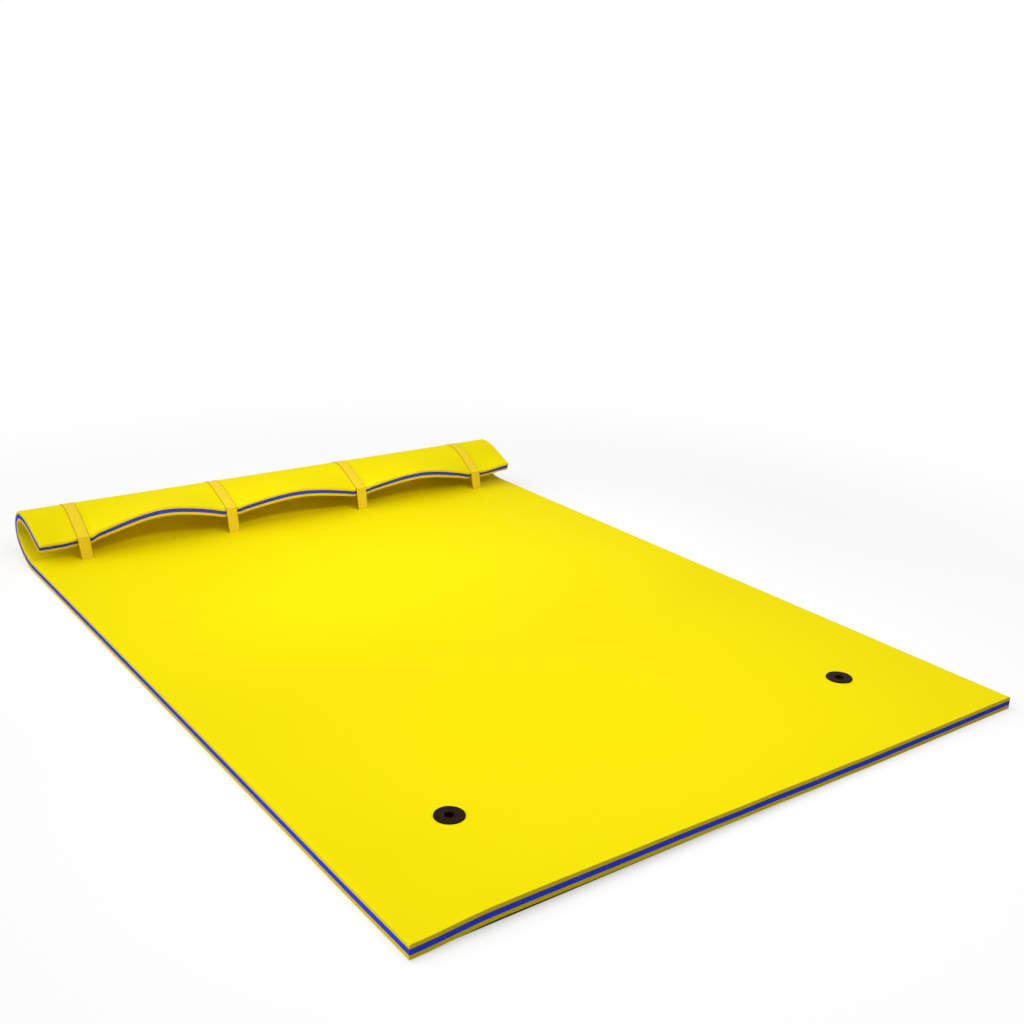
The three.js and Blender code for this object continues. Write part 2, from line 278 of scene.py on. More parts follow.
@dataclass(frozen=True)
class FoamFinish:
    """Smooth closed-cell foam, with its cells open where a knife has cut it. Scales are in lumps to the
    metre."""

    name: str
    colour: Colour
    cut_colour: Colour
    specular: float = 0.03
    shade: float = 0.16
    contrast: float = 0.05
    painted_pit_shade: float = 0.9
    broad_scale: float = 2.3
    fine_scale: float = 60
    grain_scale: float = 900
    cell_size: float = 1.3 * MM
    roughness: float = 0.62
    depth: float = 0.16 * MM

    def material(self) -> bpy.types.Material:
        """The foam's material: a faint mottle, fine grain on the skin and open cells on the cuts, with
        painted shade in their pits.
        """
        graph = Graph(self.name, Specular_IOR_Level=self.specular)
        place = graph.place()
        cut = graph.attribute(CUT_NAME)
        broad = graph.noise(place, self.broad_scale, 3)
        fine = graph.noise(place, self.fine_scale, 3)
        grain = graph.noise(place, self.grain_scale, 2)
        open_cells = graph.cells(place, 1 / self.cell_size)
        shade = (broad - 0.5) * 2 * self.shade + (fine - 0.5) * self.shade + 0.5
        dark, light = (shaded(self.colour, 1 + sign * self.contrast) for sign in (-1, 1))
        skin = graph.mix(shade, dark, light)
        # Painted shade: the open cells' pits are darker than the cut's colour.
        shaded_pits = shaded(self.cut_colour, self.painted_pit_shade)
        pitted = graph.mix(open_cells.step(0.1, 0.7), shaded_pits, self.cut_colour)
        colour = graph.mix(cut, skin, pitted)
        roughness = self.roughness + (grain - 0.5) * 0.12 + cut * 0.2
        height = grain * 0.25 + fine * 0.2 + cut * open_cells * 1.2
        return graph.finish(colour, roughness, height, self.depth)


@dataclass(frozen=True)
class WebbingFinish:
    """Woven polyester webbing: ribs along it, crossed by the weft, between two firm edges. Its edges are
    darkened, partly for the selvedge and partly as a painted shadow of the gap beside the foam.
    """

    name: str
    colour: Colour
    shadow: Colour
    # The edges' dark colour: partly the selvedge's own, partly painted shadow of the gap beside the foam.
    edge: Colour
    specular: float = 0.08
    sheen: float = 0.03
    width: float = 40 * MM
    rib: float = 1.25 * MM
    pick: float = 0.9 * MM
    selvedge_and_shadow_width: float = 2.6 * MM
    selvedge_and_shadow_share: float = 0.85
    wear_scale: float = 18
    roughness: float = 0.72
    depth: float = 0.22 * MM

    def material(self) -> bpy.types.Material:
        """The webbing's material. Ribs rise as a sine across it, and each pick is a sine along it, half a
        pick later on every other rib."""
        graph = Graph(
            self.name, Specular_IOR_Level=self.specular, Sheen_Weight=self.sheen, Sheen_Roughness=0.4
        )
        across, along = graph.strip_place()
        rib = (across * (2 * math.pi / self.rib)).sine()
        half_rib = (across * (math.pi / self.rib)).sine()
        pick = (along * (2 * math.pi / self.pick) + half_rib.step(-0.2, 0.2) * math.pi).sine()
        weave = rib * 0.3 + pick * 0.2 + 0.5
        # Both edges are darkened: partly the selvedge, partly a painted shadow of the gap between the webbing
        # and the foam.
        from_edge = self.width / 2 - (across - self.width / 2).size()
        edge = 1 - from_edge.step(0.3 * self.selvedge_and_shadow_width, self.selvedge_and_shadow_width)
        worn = graph.noise(graph.place(), self.wear_scale, 2)
        woven = graph.mix(weave.step(0.1, 0.75), self.shadow, self.colour)
        aged = graph.mix((worn - 0.4) * 0.4, woven, self.shadow)
        colour = graph.mix(edge * self.selvedge_and_shadow_share, aged, self.edge)
        return graph.finish(colour, self.roughness + worn * 0.12, weave, self.depth)


@dataclass(frozen=True)
class PlasticFinish:
    """Moulded plastic with a fine grain, rubbed a little paler where it is handled."""

    name: str
    colour: Colour
    rubbed: Colour
    specular: float = 0.03
    grain_scale: float = 1500
    rub_scale: float = 120
    roughness: float = 0.5
    depth: float = 0.05 * MM

    def material(self) -> bpy.types.Material:
        """The plastic's material."""
        graph = Graph(self.name, Specular_IOR_Level=self.specular)
        place = graph.place()
        grain = graph.noise(place, self.grain_scale, 2)
        rub = graph.noise(place, self.rub_scale, 5)
        colour = graph.mix(rub.step(0.35, 0.8), self.colour, self.rubbed)
        roughness = self.roughness + (rub - 0.5) * 0.2
        return graph.finish(colour, roughness, grain * 0.6 + rub * 0.4, self.depth)


class Tape(Enum):
    """The two faces of a hook-and-loop fastening."""

    HOOK = "hook"
    LOOP = "loop"


@dataclass(frozen=True)
class TapeFinish:
    """Hook tape, with its hooks in rows, or loop tape, with its brushed pile."""

    name: str
    kind: Tape
    colour: Colour
    shadow: Colour
    specular: float = 0.2
    sheen: float = 0.25
    pitch: float = 1.5 * MM
    fuzz_scale: float = 1400
    tuft_scale: float = 500
    roughness: float = 0.85
    hook_depth: float = 0.5 * MM
    pile_depth: float = 0.6 * MM

    def material(self) -> bpy.types.Material:
        """The tape's material."""
        graph = Graph(
            self.name, Specular_IOR_Level=self.specular, Sheen_Weight=self.sheen, Sheen_Roughness=0.5
        )
        across, along = graph.strip_place()
        if self.kind is Tape.HOOK:
            turns = 2 * math.pi / self.pitch
            height = (across * turns).sine() * (along * turns).sine() * 0.5 + 0.5
            depth = self.hook_depth
        else:
            fuzz = graph.noise(graph.place(), self.fuzz_scale, 4)
            tufts = graph.cells(graph.place(), self.tuft_scale)
            height = fuzz * 0.7 + tufts * 0.5
            depth = self.pile_depth
        colour = graph.mix(height.step(0.25, 0.8), self.shadow, self.colour)
        return graph.finish(colour, self.roughness, height, depth)


@dataclass(frozen=True)
class ThreadFinish:
    """Bonded sewing thread, with its twist."""

    name: str
    colour: Colour
    shadow: Colour
    specular: float = 0.35
    twist: float = 0.7 * MM
    roughness: float = 0.5
    depth: float = 0.08 * MM

    def material(self) -> bpy.types.Material:
        """The thread's material: slanting bands across it."""
        graph = Graph(self.name, Specular_IOR_Level=self.specular)
        x, y, z = graph.parts(graph.place())
        band = ((x + y + z) * (2 * math.pi / self.twist)).sine() * 0.5 + 0.5
        colour = graph.mix(band, self.shadow, self.colour)
        return graph.finish(colour, self.roughness, band, self.depth)


YELLOW_FOAM = FoamFinish("yellow_foam", linear(244, 226, 4), linear(247, 218, 8))
BLUE_FOAM = FoamFinish("blue_foam", linear(54, 69, 226), linear(59, 75, 232))
# The webbing's third colour darkens its edges: partly the selvedge, partly painted shadow.
WEBBING = WebbingFinish("gold_webbing", linear(255, 226, 50), linear(240, 202, 34), linear(136, 98, 24))
BLACK_PLASTIC = PlasticFinish("black_plastic", linear(32, 16, 9), linear(46, 27, 17))
HOOK_TAPE = TapeFinish("hook_tape", Tape.HOOK, linear(222, 184, 62), linear(150, 112, 26))
LOOP_TAPE = TapeFinish("loop_tape", Tape.LOOP, linear(232, 196, 84), linear(176, 138, 40))
THREAD = ThreadFinish("thread", linear(250, 220, 90), linear(196, 150, 40))


# Meshes


def grid_faces(rows: int, columns: int, closed_rows: bool = False, closed_columns: bool = False) -> Faces:
    """The quads of a grid of points that are numbered row by row.

    Args:
        rows: How many rows there are.
        columns: How many points are in a row.
        closed_rows: Whether the last row joins the first.
        closed_columns: Whether each row's last point joins its first.

    Returns:
        The quads' corners.
    """
    i = np.arange(rows if closed_rows else rows - 1)[:, None]
    j = np.arange(columns if closed_columns else columns - 1)[None, :]
    next_i, next_j = (i + 1) % rows, (j + 1) % columns
    corners = (i * columns + j, i * columns + next_j, next_i * columns + next_j, next_i * columns + j)
    return np.stack(np.broadcast_arrays(*corners), -1).reshape(-1, 4)


def signed_volume(points: Array, groups: list[Faces]) -> float:
    """Six times the volume inside closed faces: the sum, over the triangles of each face's fan, of a
    corner's dot product with the cross product of the other two. Positive where they face outwards."""
    total = 0.0
    for faces in groups:
        for k in range(1, faces.shape[1] - 1):
            a, b, c = points[faces[:, 0]], points[faces[:, k]], points[faces[:, k + 1]]
            total += float(np.einsum("ij,ij->", a, np.cross(b, c)))
    return total


def make_piece(
    name: str,
    points: Array,
    groups: list[Faces],
    material: bpy.types.Material,
    uv: Array | None = None,
    cut: Array | None = None,
    sharp_angle: float = 40.0,
) -> bpy.types.Object:
    """Puts points and faces into a new object at the origin, with its faces outwards.

    Args:
        name: The piece's name.
        points: The vertices' places.
        groups: Arrays of faces, each of one number of corners.
        material: The finish.
        uv: A place on the strip for each vertex.
        cut: For each face, 1 where a knife has cut it.
        sharp_angle: Edges that turn by more degrees than this stay sharp.

    Returns:
        The object.
    """
    if signed_volume(points, groups) < 0:
        groups = [faces[:, ::-1] for faces in groups]
    corners = np.concatenate([faces.ravel() for faces in groups])
    totals = np.concatenate([np.full(len(faces), faces.shape[1]) for faces in groups])
    mesh = bpy.data.meshes.new(name)
    mesh.vertices.add(len(points))
    mesh.vertices.foreach_set("co", points.astype(np.float32).ravel())
    mesh.loops.add(len(corners))
    mesh.loops.foreach_set("vertex_index", corners.astype(np.int32))
    mesh.polygons.add(len(totals))
    mesh.polygons.foreach_set("loop_start", (np.cumsum(totals) - totals).astype(np.int32))
    mesh.polygons.foreach_set("use_smooth", np.ones(len(totals), bool))
    mesh.update(calc_edges=True)
    mesh.validate()
    if uv is not None:
        layer = mesh.uv_layers.new(name=UV_NAME)
        layer.data.foreach_set("uv", uv[corners].astype(np.float32).ravel())
    if cut is not None:
        mesh.attributes.new(CUT_NAME, "FLOAT", "FACE").data.foreach_set("value", cut.astype(np.float32))
    mesh.set_sharp_from_angle(angle=math.radians(sharp_angle))
    mesh.materials.append(material)
    piece = bpy.data.objects.new(name, mesh)
    bpy.context.scene.collection.objects.link(piece)
    log.info("%s: %d points, %d faces", name, len(points), len(totals))
    return piece


def dress(piece: bpy.types.Object, body: str, slot: str, *nodes: str) -> bpy.types.Object:
    """Lets a piece ride on a body in place of some nodes.

    Args:
        piece: The piece.
        body: The body's name.
        slot: A material slot's name, which is not used.
        *nodes: The nodes that it stands for.

    Returns:
        The piece.
    """
    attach(piece, body)
    if nodes:
        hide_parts(*nodes)
    return piece


def rounded(corners: Array, radius: float, steps: int = 4, most: float = 0.45) -> Array:
    """Rounds a closed outline. Each corner becomes a curve of (1-t)^2, 2t(1-t) and t^2 parts of a point
    before it, the corner and a point after it.

    Args:
        corners: The outline's corners, as rows.
        radius: How far from its corner each curve starts.
        steps: How many points each curve has.
        most: The share of a side that a curve takes at most.

    Returns:
        The rounded outline.
    """
    before = np.roll(corners, 1, 0) - corners
    after = np.roll(corners, -1, 0) - corners
    reach = [
        side * np.minimum(radius / np.linalg.norm(side, axis=1), most)[:, None] for side in (before, after)
    ]
    t = np.linspace(0, 1, steps)[None, :, None]
    start, end = corners + reach[0], corners + reach[1]
    curve = start[:, None] * (1 - t) ** 2 + corners[:, None] * 2 * t * (1 - t) + end[:, None] * t**2
    return curve.reshape(-1, corners.shape[1])


def turned(profile: Array, x: float, y: float, steps: int = 96) -> tuple[Array, list[Faces]]:
    """A closed outline of radius and height turned about an upright axis: each of its points goes to
    (x + r cos a, y + r sin a, z) for the angles a.

    Args:
        profile: The outline, as rows of radius and height.
        x: The axis's place across the mat.
        y: The axis's place along the mat.
        steps: How many angles there are.

    Returns:
        The points and the faces.
    """
    angle = np.arange(steps)[:, None] * (2 * math.pi / steps)
    r, z = profile[None, :, 0], profile[None, :, 1]
    points = np.stack([x + r * np.cos(angle), y + r * np.sin(angle), z + 0 * angle], -1)
    return points.reshape(-1, 3), [grid_faces(steps, len(profile), True, True)]


def between(knots: Array, x: Array) -> tuple[Array, Array]:
    """Finds places among rising knots.

    Args:
        knots: The knots.
        x: The places.

    Returns:
        The number of the knot before each place, and how far from it to the next the place is, 0 to 1.
    """
    i = np.clip(np.searchsorted(knots, x) - 1, 0, len(knots) - 2)
    return i, np.clip((x - knots[i]) / (knots[i + 1] - knots[i]), 0, 1)


def within(away: Array, edge: float, slope: float) -> Array:
    """0 at distances past an edge, growing evenly to 1 over a slope inside it."""
    return np.clip((edge - away) / slope, 0, 1)


def ridge(away: Array, place: float, width: float) -> Array:
    """A soft ridge: exp of minus the square of (away - place) / width."""
    return np.exp(-(((away - place) / width) ** 2))


# The foam


@dataclass(frozen=True)
class Sheet:
    """The bent middle surface of the foam. A place on it is a distance x across the flat sheet, from its
    middle, and a distance s along it, from its foot. Off is a distance from it, towards the upper face."""

    length: float = 2743 * MM
    width: float = 1829 * MM
    skin: float = 9.8 * MM
    core: float = 12.8 * MM
    bond: float = 0.3 * MM
    pillow: float = 460 * MM
    rise_radius: float = 257 * MM
    rise_angle: float = math.radians(35)
    back_radius: float = 48 * MM
    flap_radius: float = 200 * MM
    draw_in: float = 12.8 * MM
    left_end_angle: float = 27.1
    right_end_angle: float = 20.8
    strap_angles: tuple[float, ...] = (24.5, 15.9, 20.5, 29.0)
    side_angles: tuple[float, ...] = (27.7, 21.4, 15.7, 16.0, 20.8, 20.0, 27.5, 30.1)
    arch_places: tuple[float, ...] = (-490 * MM, -4 * MM, 504 * MM)
    arch_angles: tuple[float, ...] = (0.1, 4.9, 7.2)
    arch_power: float = 1.8
    strap_blend: float = 30 * MM
    outer_strap_from_side: float = 159.2 * MM
    strap_reach: float = 21.3 * MM
    strap_lean: float = 11 * MM
    slit_behind_edge: float = 4.96 * MM
    tail_depth: float = 7 * MM
    lift_places: tuple[float, ...] = (-914.5 * MM, -720 * MM, -300 * MM, 0.0, 200 * MM, 400 * MM)
    lift_heights: tuple[float, ...] = (2.2 * MM, 11 * MM, 8.4 * MM, 5 * MM, 2.2 * MM, 0.0)
    lift_reach: float = 260 * MM

    @property
    def half(self) -> float:
        """Half the thickness of the three layers together."""
        return self.skin + self.core / 2 + self.bond

    @property
    def floor_length(self) -> float:
        """How far the sheet lies flat."""
        return self.length - self.pillow

    @property
    def strap_centres(self) -> Array:
        """Where the straps' middle lines are across the mat."""
        reach = self.width / 2 - self.outer_strap_from_side
        return np.linspace(-reach, reach, len(self.strap_angles))

    @property
    def outer_radius(self) -> float:
        """The radius of the back bend's outer face."""
        return self.back_radius + self.half

    @property
    def back_centre(self) -> tuple[float, float]:
        """The middle of the back bend, as its distance from the foot and its height."""
        reach = self.rise_radius - self.back_radius
        y = self.floor_length + reach * math.sin(self.rise_angle)
        return y, self.half + self.rise_radius - reach * math.cos(self.rise_angle)

    @property
    def origin(self) -> float:
        """The frame's origin, as a distance from the foot: half the mat's depth with its straps."""
        return (self.back_centre[0] + self.outer_radius + self.tail_depth) / 2

    @property
    def back_start(self) -> float:
        """How far from the foot the back bend starts."""
        return self.floor_length + self.rise_radius * self.rise_angle

    @property
    def flap_start(self) -> float:
        """How far from the foot the back bend ends and the flap starts."""
        return self.along_back(math.pi)

    def along_back(self, heading: Array) -> Array:
        """The distance from the foot at a heading on the back bend."""
        return self.back_start + self.back_radius * (heading - self.rise_angle)

    def leaning(self, centre: float, s: Array) -> Array:
        """The place across the mat of a strap's middle line. It leans to the left over the flap."""
        share = np.maximum(0, s - self.flap_start) / (self.length - self.flap_start)
        return centre - self.strap_lean * share

    def slope(self, x: Array, s: Array) -> Array:
        """The flap's slope in radians. Places across the mat are taken beside the leaning straps. From each
        arch's middle the slope grows towards the strap as the distance ** arch_power, between a strap and
        the sheet's side it goes as (1 - cos(pi t)) / 2, and beside each strap it turns to the strap's own
        slope as t^2 (3 - 2t)."""
        x = self.drawn_in(x, s) - self.leaning(0.0, s)
        left, right = self.strap_centres - self.strap_reach, self.strap_centres + self.strap_reach
        arches = np.array(self.arch_places)
        knots = np.concatenate([[-self.width / 2, self.width / 2], left, right, arches])
        sides = np.array(self.side_angles)
        angles = np.concatenate(
            [[self.left_end_angle, self.right_end_angle], sides[0::2], sides[1::2], self.arch_angles]
        )
        order = np.argsort(knots)
        knots, angles = knots[order], angles[order]
        i, t = between(knots, x)
        is_arch = np.isin(knots, arches)
        towards_arch = 1 - (1 - t) ** self.arch_power
        beside_arch = np.where(is_arch[i + 1], towards_arch, (1 - np.cos(np.pi * t)) / 2)
        ease = np.where(is_arch[i], t**self.arch_power, beside_arch)
        angle = angles[i] + (angles[i + 1] - angles[i]) * ease
        for low, high, own in zip(left, right, self.strap_angles):
            beside = np.maximum(np.maximum(low - x, x - high), 0)
            near = np.clip(1 - beside / self.strap_blend, 0, 1)
            angle = angle + (own - angle) * near * near * (3 - 2 * near)
        return np.radians(angle)

    def middle(self, s: Array, slope: Array) -> tuple[Array, Array, Array]:
        """The middle line: flat, then three arcs, then straight. On an arc of radius r from heading h to
        heading k, y grows by r (sin k - sin h) and z by r (cos h - cos k).

        Args:
            s: Distances from the foot.
            slope: The flap's slope at each.

        Returns:
            The place along the mat, the height and the heading.
        """
        y = np.minimum(s, self.floor_length) + 0 * slope
        z = self.half + 0 * y
        start = self.floor_length
        heading = 0 * y
        arcs = (
            (self.rise_radius, self.rise_angle),
            (self.back_radius, math.pi - self.rise_angle),
            (self.flap_radius, slope),
        )
        for radius, turn in arcs:
            after = heading + np.clip(s - start, 0, radius * turn) / radius
            y = y + radius * (np.sin(after) - np.sin(heading))
            z = z + radius * (np.cos(heading) - np.cos(after))
            heading = after
            start = start + radius * turn
        straight = np.maximum(s - start, 0)
        return y + straight * np.cos(heading), z + straight * np.sin(heading), heading

    def drawn_in(self, x: Array, s: Array) -> Array:
        """The place across the mat, drawn in towards the pillow's free edge by the square of the distance
        from where the curl starts."""
        share = np.maximum(0, s - self.floor_length) / self.pillow
        return x * (1 - self.draw_in / (self.width / 2) * share**2)

    def lift(self, x: Array, s: Array) -> Array:
        """How far the foot's edge stands off the ground. Between two places where it is set it goes as
        (1 - cos(pi t)) / 2, and inwards from the edge it falls to nothing as (1 - t)^2 (1 + 2t)."""
        places, heights = np.array(self.lift_places), np.array(self.lift_heights)
        i, t = between(places, x)
        edge = heights[i] + (heights[i + 1] - heights[i]) * (1 - np.cos(np.pi * t)) / 2
        inwards = np.clip(s / self.lift_reach, 0, 1)
        return edge * (1 - inwards) ** 2 * (1 + 2 * inwards)

    def point(self, x: Array, s: Array, off: Array) -> Array:
        """The points at x and s on the sheet, off from its middle surface, in the frame."""
        y, z, heading = self.middle(s, self.slope(x, s))
        across = self.drawn_in(x, s) + 0 * y
        height = z + off * np.cos(heading) + self.lift(x, s)
        return np.stack([across, y - off * np.sin(heading) - self.origin, height], -1)

    @property
    def slit(self) -> float:
        """How far the line of slits is from the foot."""
        slope = math.radians(float(np.mean(self.strap_angles)))
        y, _, heading = self.middle(np.array(self.length), np.array(slope))
        return float(y + self.half * np.sin(heading)) + self.slit_behind_edge


@dataclass(frozen=True)
class EyeletSizes:
    """Sizes of the eyelets, and where they are."""

    from_foot: float = 320 * MM
    from_side: float = 294.5 * MM
    bore: float = 11 * MM
    barrel: float = 15.5 * MM
    flange: float = 35 * MM
    clearance: float = 0.5 * MM
    recess: float = 2.5 * MM

    def places(self, width: float) -> tuple[float, float]:
        """Where the left and the right eyelet are across a sheet of some width."""
        side = width / 2 - self.from_side
        return -side, side

    def away(self, x: Array, s: Array, place: float) -> Array:
        """How far points on the sheet are from the middle of the eyelet at a place across it."""
        return np.hypot(x - place, s - self.from_foot)


@dataclass
class Foam:
    """The three layers of foam, bonded into one sheet, with its slits, holes and dents. A slope is how
    wide a step in the surface is. The lines beside straps, eyelets and slits are in millimetres, and the
    rim's are shares of its radius."""

    sheet: Sheet
    eyelet: EyeletSizes
    slit_half_length: float = 20.6 * MM
    slit_half_width: float = 1.05 * MM
    slit_dip: float = 0.9 * MM
    slit_dip_width: float = 6 * MM
    dent_depth: float = 2.1 * MM
    dent_half_width: float = 22.1 * MM
    dent_slope: float = 1.5 * MM
    dent_before_slit: float = 1.2 * MM
    dent_past_floor: float = 0.12
    press: float = 0.35 * MM
    press_half_width: float = 23 * MM
    press_slope: float = 3 * MM
    swell: float = 0.7 * MM
    strap_swell_place: float = 27 * MM
    strap_swell_width: float = 6 * MM
    eyelet_swell_place: float = 41 * MM
    eyelet_swell_width: float = 4 * MM
    curl_fade: float = 0.05
    recess_radius: float = 39 * MM
    recess_slope: float = 1.3 * MM
    wander: float = 0.25 * MM
    rim_radius: float = 5.2 * MM
    rim_margin: float = 1.4
    flat_rim: float = 0.1
    held_half_width: float = 34 * MM
    held_slope: float = 12 * MM
    circle_reach: float = 66 * MM
    circle_slope: float = 25 * MM
    strap_lines: tuple[float, ...] = (0, 8, 15, 19.6, 20.6, 22, 24, 27, 31, 36, 43)
    eyelet_lines: tuple[float, ...] = (0, 4, 8, 12, 16, 20, 25, 30, 34, 37.5, 39, 41, 44, 49, 56, 66)
    slit_lines: tuple[float, ...] = (2, 4, 8, 14)
    rim_lines: tuple[float, ...] = (0, 0.06, 0.2, 0.42, 0.7, 1)
    spacing: float = 20 * MM
    floor_spacing: float = 48 * MM
    pillow_spacing: float = 5 * MM
    lines_before_curl: int = 8
    end_margin: float = 2 * MM
    least_gap: float = 0.4 * MM
    crowded_gap: float = 2.4 * MM
    edge_rounding: float = 0.9 * MM
    edge_angle: float = 50.0

    def lines(self) -> tuple[Array, Array]:
        """The grid's lines across and along the sheet, closer together at slits, straps and eyelets."""
        sheet, eyelet, fine = self.sheet, self.eyelet, self.pillow_spacing
        near_strap, hole = np.array(self.strap_lines) * MM, np.array(self.eyelet_lines) * MM
        near_slit = np.array([0, self.slit_half_width / MM, *self.slit_lines]) * MM
        across = [sign * near_strap + centre for sign in (-1, 1) for centre in sheet.strap_centres]
        across += [sign * hole + place for sign in (-1, 1) for place in eyelet.places(sheet.width)]
        along = [sign * near_slit + sheet.slit for sign in (-1, 1)]
        along += [sign * hole + eyelet.from_foot for sign in (-1, 1)]
        along.append(np.arange(sheet.floor_length - self.lines_before_curl * fine, sheet.length, fine))
        x = self.merged(-sheet.width / 2, sheet.width / 2, self.spacing, across)
        return self.rimmed(x), self.rimmed(self.merged(0, sheet.length, self.floor_spacing, along))

    def rimmed(self, lines: Array) -> Array:
        """Some lines with a close row at each end, where the faces round off."""
        margin = self.rim_margin * self.rim_radius
        inner = lines[(lines > lines[0] + margin) & (lines < lines[-1] - margin)]
        row = np.array(self.rim_lines) * self.rim_radius
        return np.sort(np.concatenate([lines[0] + row, inner, lines[-1] - row]))

    def rim(self, x: Array, s: Array, flap: bool) -> Array:
        """How far a face falls away at the sheet's edges: r - sqrt(r^2 - (r - d)^2) at a distance d under r.
        The face that looks up is rounded fully, so it changes from one to the other round the curl. The
        foot's edge is cut sharp, and straps hold the free edge flatter.

        Args:
            x: Places across the mat.
            s: Places along the sheet.
            flap: Whether the face is the one that looks up on the flap.

        Returns:
            The fall at each place.
        """
        sheet, radius = self.sheet, self.rim_radius
        inwards = radius - np.minimum(sheet.width / 2 - np.abs(x), sheet.length - s)
        fall = radius - np.sqrt(radius**2 - np.clip(inwards, 0, radius) ** 2)
        t = np.clip((s - sheet.floor_length) / (sheet.flap_start - sheet.floor_length), 0, 1)
        t = t * t * (3 - 2 * t)
        share = t if flap else 1 - t
        from_lean = sheet.drawn_in(x, s)[..., None] - sheet.leaning(0.0, s)[..., None]
        away = np.abs(from_lean - sheet.strap_centres).min(-1)
        held = within(away, self.held_half_width, self.held_slope)
        return fall * (self.flat_rim + (1 - self.flat_rim) * share * (1 - held))

    def merged(self, low: float, high: float, spacing: float, groups: list[Array]) -> Array:
        """Even lines from low to high, with groups of chosen ones in place of those that they crowd."""
        chosen = np.unique(np.round(np.concatenate(groups), 5))
        chosen = chosen[(chosen > low + self.end_margin) & (chosen < high - self.end_margin)]
        chosen = chosen[np.concatenate([[True], np.diff(chosen) > self.least_gap])]
        even = np.linspace(low, high, round((high - low) / spacing) + 1)
        clear = np.abs(even[:, None] - chosen[None, :]).min(1) > self.crowded_gap
        clear[[0, -1]] = True
        return np.sort(np.concatenate([even[clear], chosen]))

    def warped(self, x: Array, s: Array) -> tuple[Array, Array]:
        """Bends the grid's squares round each eyelet into circles: a point at (dx, ds) from the middle goes
        to that times max(|dx|, |ds|) / hypot(dx, ds), fading out away from the flange."""
        for place in self.eyelet.places(self.sheet.width):
            dx, ds = x - place, s - self.eyelet.from_foot
            square = np.maximum(np.abs(dx), np.abs(ds))
            circle = np.where(square > 0, square / np.maximum(np.hypot(dx, ds), 1e-9), 1)
            fade = within(square, self.circle_reach, self.circle_slope)
            factor = 1 + (circle - 1) * fade * fade * (3 - 2 * fade)
            x, s = place + dx * factor, self.eyelet.from_foot + ds * factor
        return x, s

    def outer_relief(self, x: Array, s: Array) -> Array:
        """How far the underside stands out from its plain face. It swells beside each strap, is pressed in
        under it, and has a dent for each strap that lies under the mat and a recess for each eyelet."""
        sheet = self.sheet
        relief = 0 * (x + s)
        _, under, _ = sheet.middle(s, 0 * s)
        under = under - sheet.half
        curled = np.clip((s - sheet.floor_length - self.curl_fade) / self.curl_fade, 0, 1)
        past_slit = s > sheet.slit - self.dent_before_slit
        laid = np.where(past_slit & (s < sheet.floor_length + self.dent_past_floor), 1, 0)
        depth = np.clip(self.dent_depth - under, 0, self.dent_depth) * laid
        for centre in sheet.strap_centres:
            away = np.abs(sheet.drawn_in(x, s) - sheet.leaning(centre, s))
            covered = within(away, self.press_half_width, self.press_slope)
            swollen = ridge(away, self.strap_swell_place, self.strap_swell_width)
            relief = relief + curled * (self.swell * swollen - self.press * covered)
            relief = relief - depth * within(away, self.dent_half_width, self.dent_slope)
        for place in self.eyelet.places(sheet.width):
            away = self.eyelet.away(x, s, place)
            relief = relief - self.eyelet.recess * within(away, self.recess_radius, self.recess_slope)
        return relief

    def upper_relief(self, x: Array, s: Array) -> Array:
        """How far the upper face stands out from its plain face: it swells round each eyelet's flange,
        dips into each slit, and wanders by a fraction of a millimetre."""
        relief = self.wander * np.sin(9 * x + 3 * np.sin(4 * s)) * np.sin(7 * s + 1.3)
        for place in self.eyelet.places(self.sheet.width):
            away = self.eyelet.away(x, s, place)
            relief = relief + self.swell * ridge(away, self.eyelet_swell_place, self.eyelet_swell_width)
        for centre in self.sheet.strap_centres:
            end = np.maximum(np.abs(x - centre) - self.slit_half_length, 0)
            away = np.hypot(end, s - self.sheet.slit)
            relief = relief - self.slit_dip * ridge(away, 0, self.slit_dip_width)
        return relief

    def slab(self, low: float, high: float) -> tuple[Array, list[Faces], Array]:
        """One layer: its two faces as grids, and a wall wherever a kept cell meets a cut one or the edge.

        Args:
            low: The lower face's distance from the sheet's middle surface.
            high: The upper face's.

        Returns:
            The points, the faces and, for each face, 1 where it is cut.
        """
        sheet = self.sheet
        x_lines, s_lines = self.lines()
        x, s = self.warped(*np.meshgrid(x_lines, s_lines, indexing="ij"))
        outermost, uppermost = low < -sheet.half + MM, high > sheet.half - MM
        low_off = low - (self.outer_relief(x, s) - self.rim(x, s, flap=True) if outermost else 0)
        high_off = high + (self.upper_relief(x, s) - self.rim(x, s, flap=False) if uppermost else 0)
        faces_off = (low_off, high_off)
        points = np.concatenate([sheet.point(x, s, off + 0 * x).reshape(-1, 3) for off in faces_off])
        kept = self.kept_cells(x_lines, s_lines)
        columns = len(s_lines)
        size = len(x_lines) * columns
        cells = grid_faces(len(x_lines), columns)[kept.ravel()]
        walls = []
        padded = np.pad(kept, 1)
        for axis in (0, 1):
            change = np.diff(padded.astype(int), axis=axis)
            change = change[:, 1:-1] if axis == 0 else change[1:-1, :]
            i, j = np.nonzero(change)
            sign = change[i, j]
            first = i * columns + j
            second = first + (1 if axis == 0 else columns)
            flip = (sign < 0) if axis == 0 else (sign > 0)
            a, b = np.where(flip, first, second), np.where(flip, second, first)
            walls.append(np.stack([a, b, b + size, a + size], -1))
        faces = np.concatenate([cells, cells[:, ::-1] + size, *walls])
        cut = np.concatenate([np.zeros(2 * len(cells)), np.ones(len(faces) - 2 * len(cells))])
        used, corners = np.unique(faces, return_inverse=True)
        return points[used], [corners.reshape(faces.shape)], cut

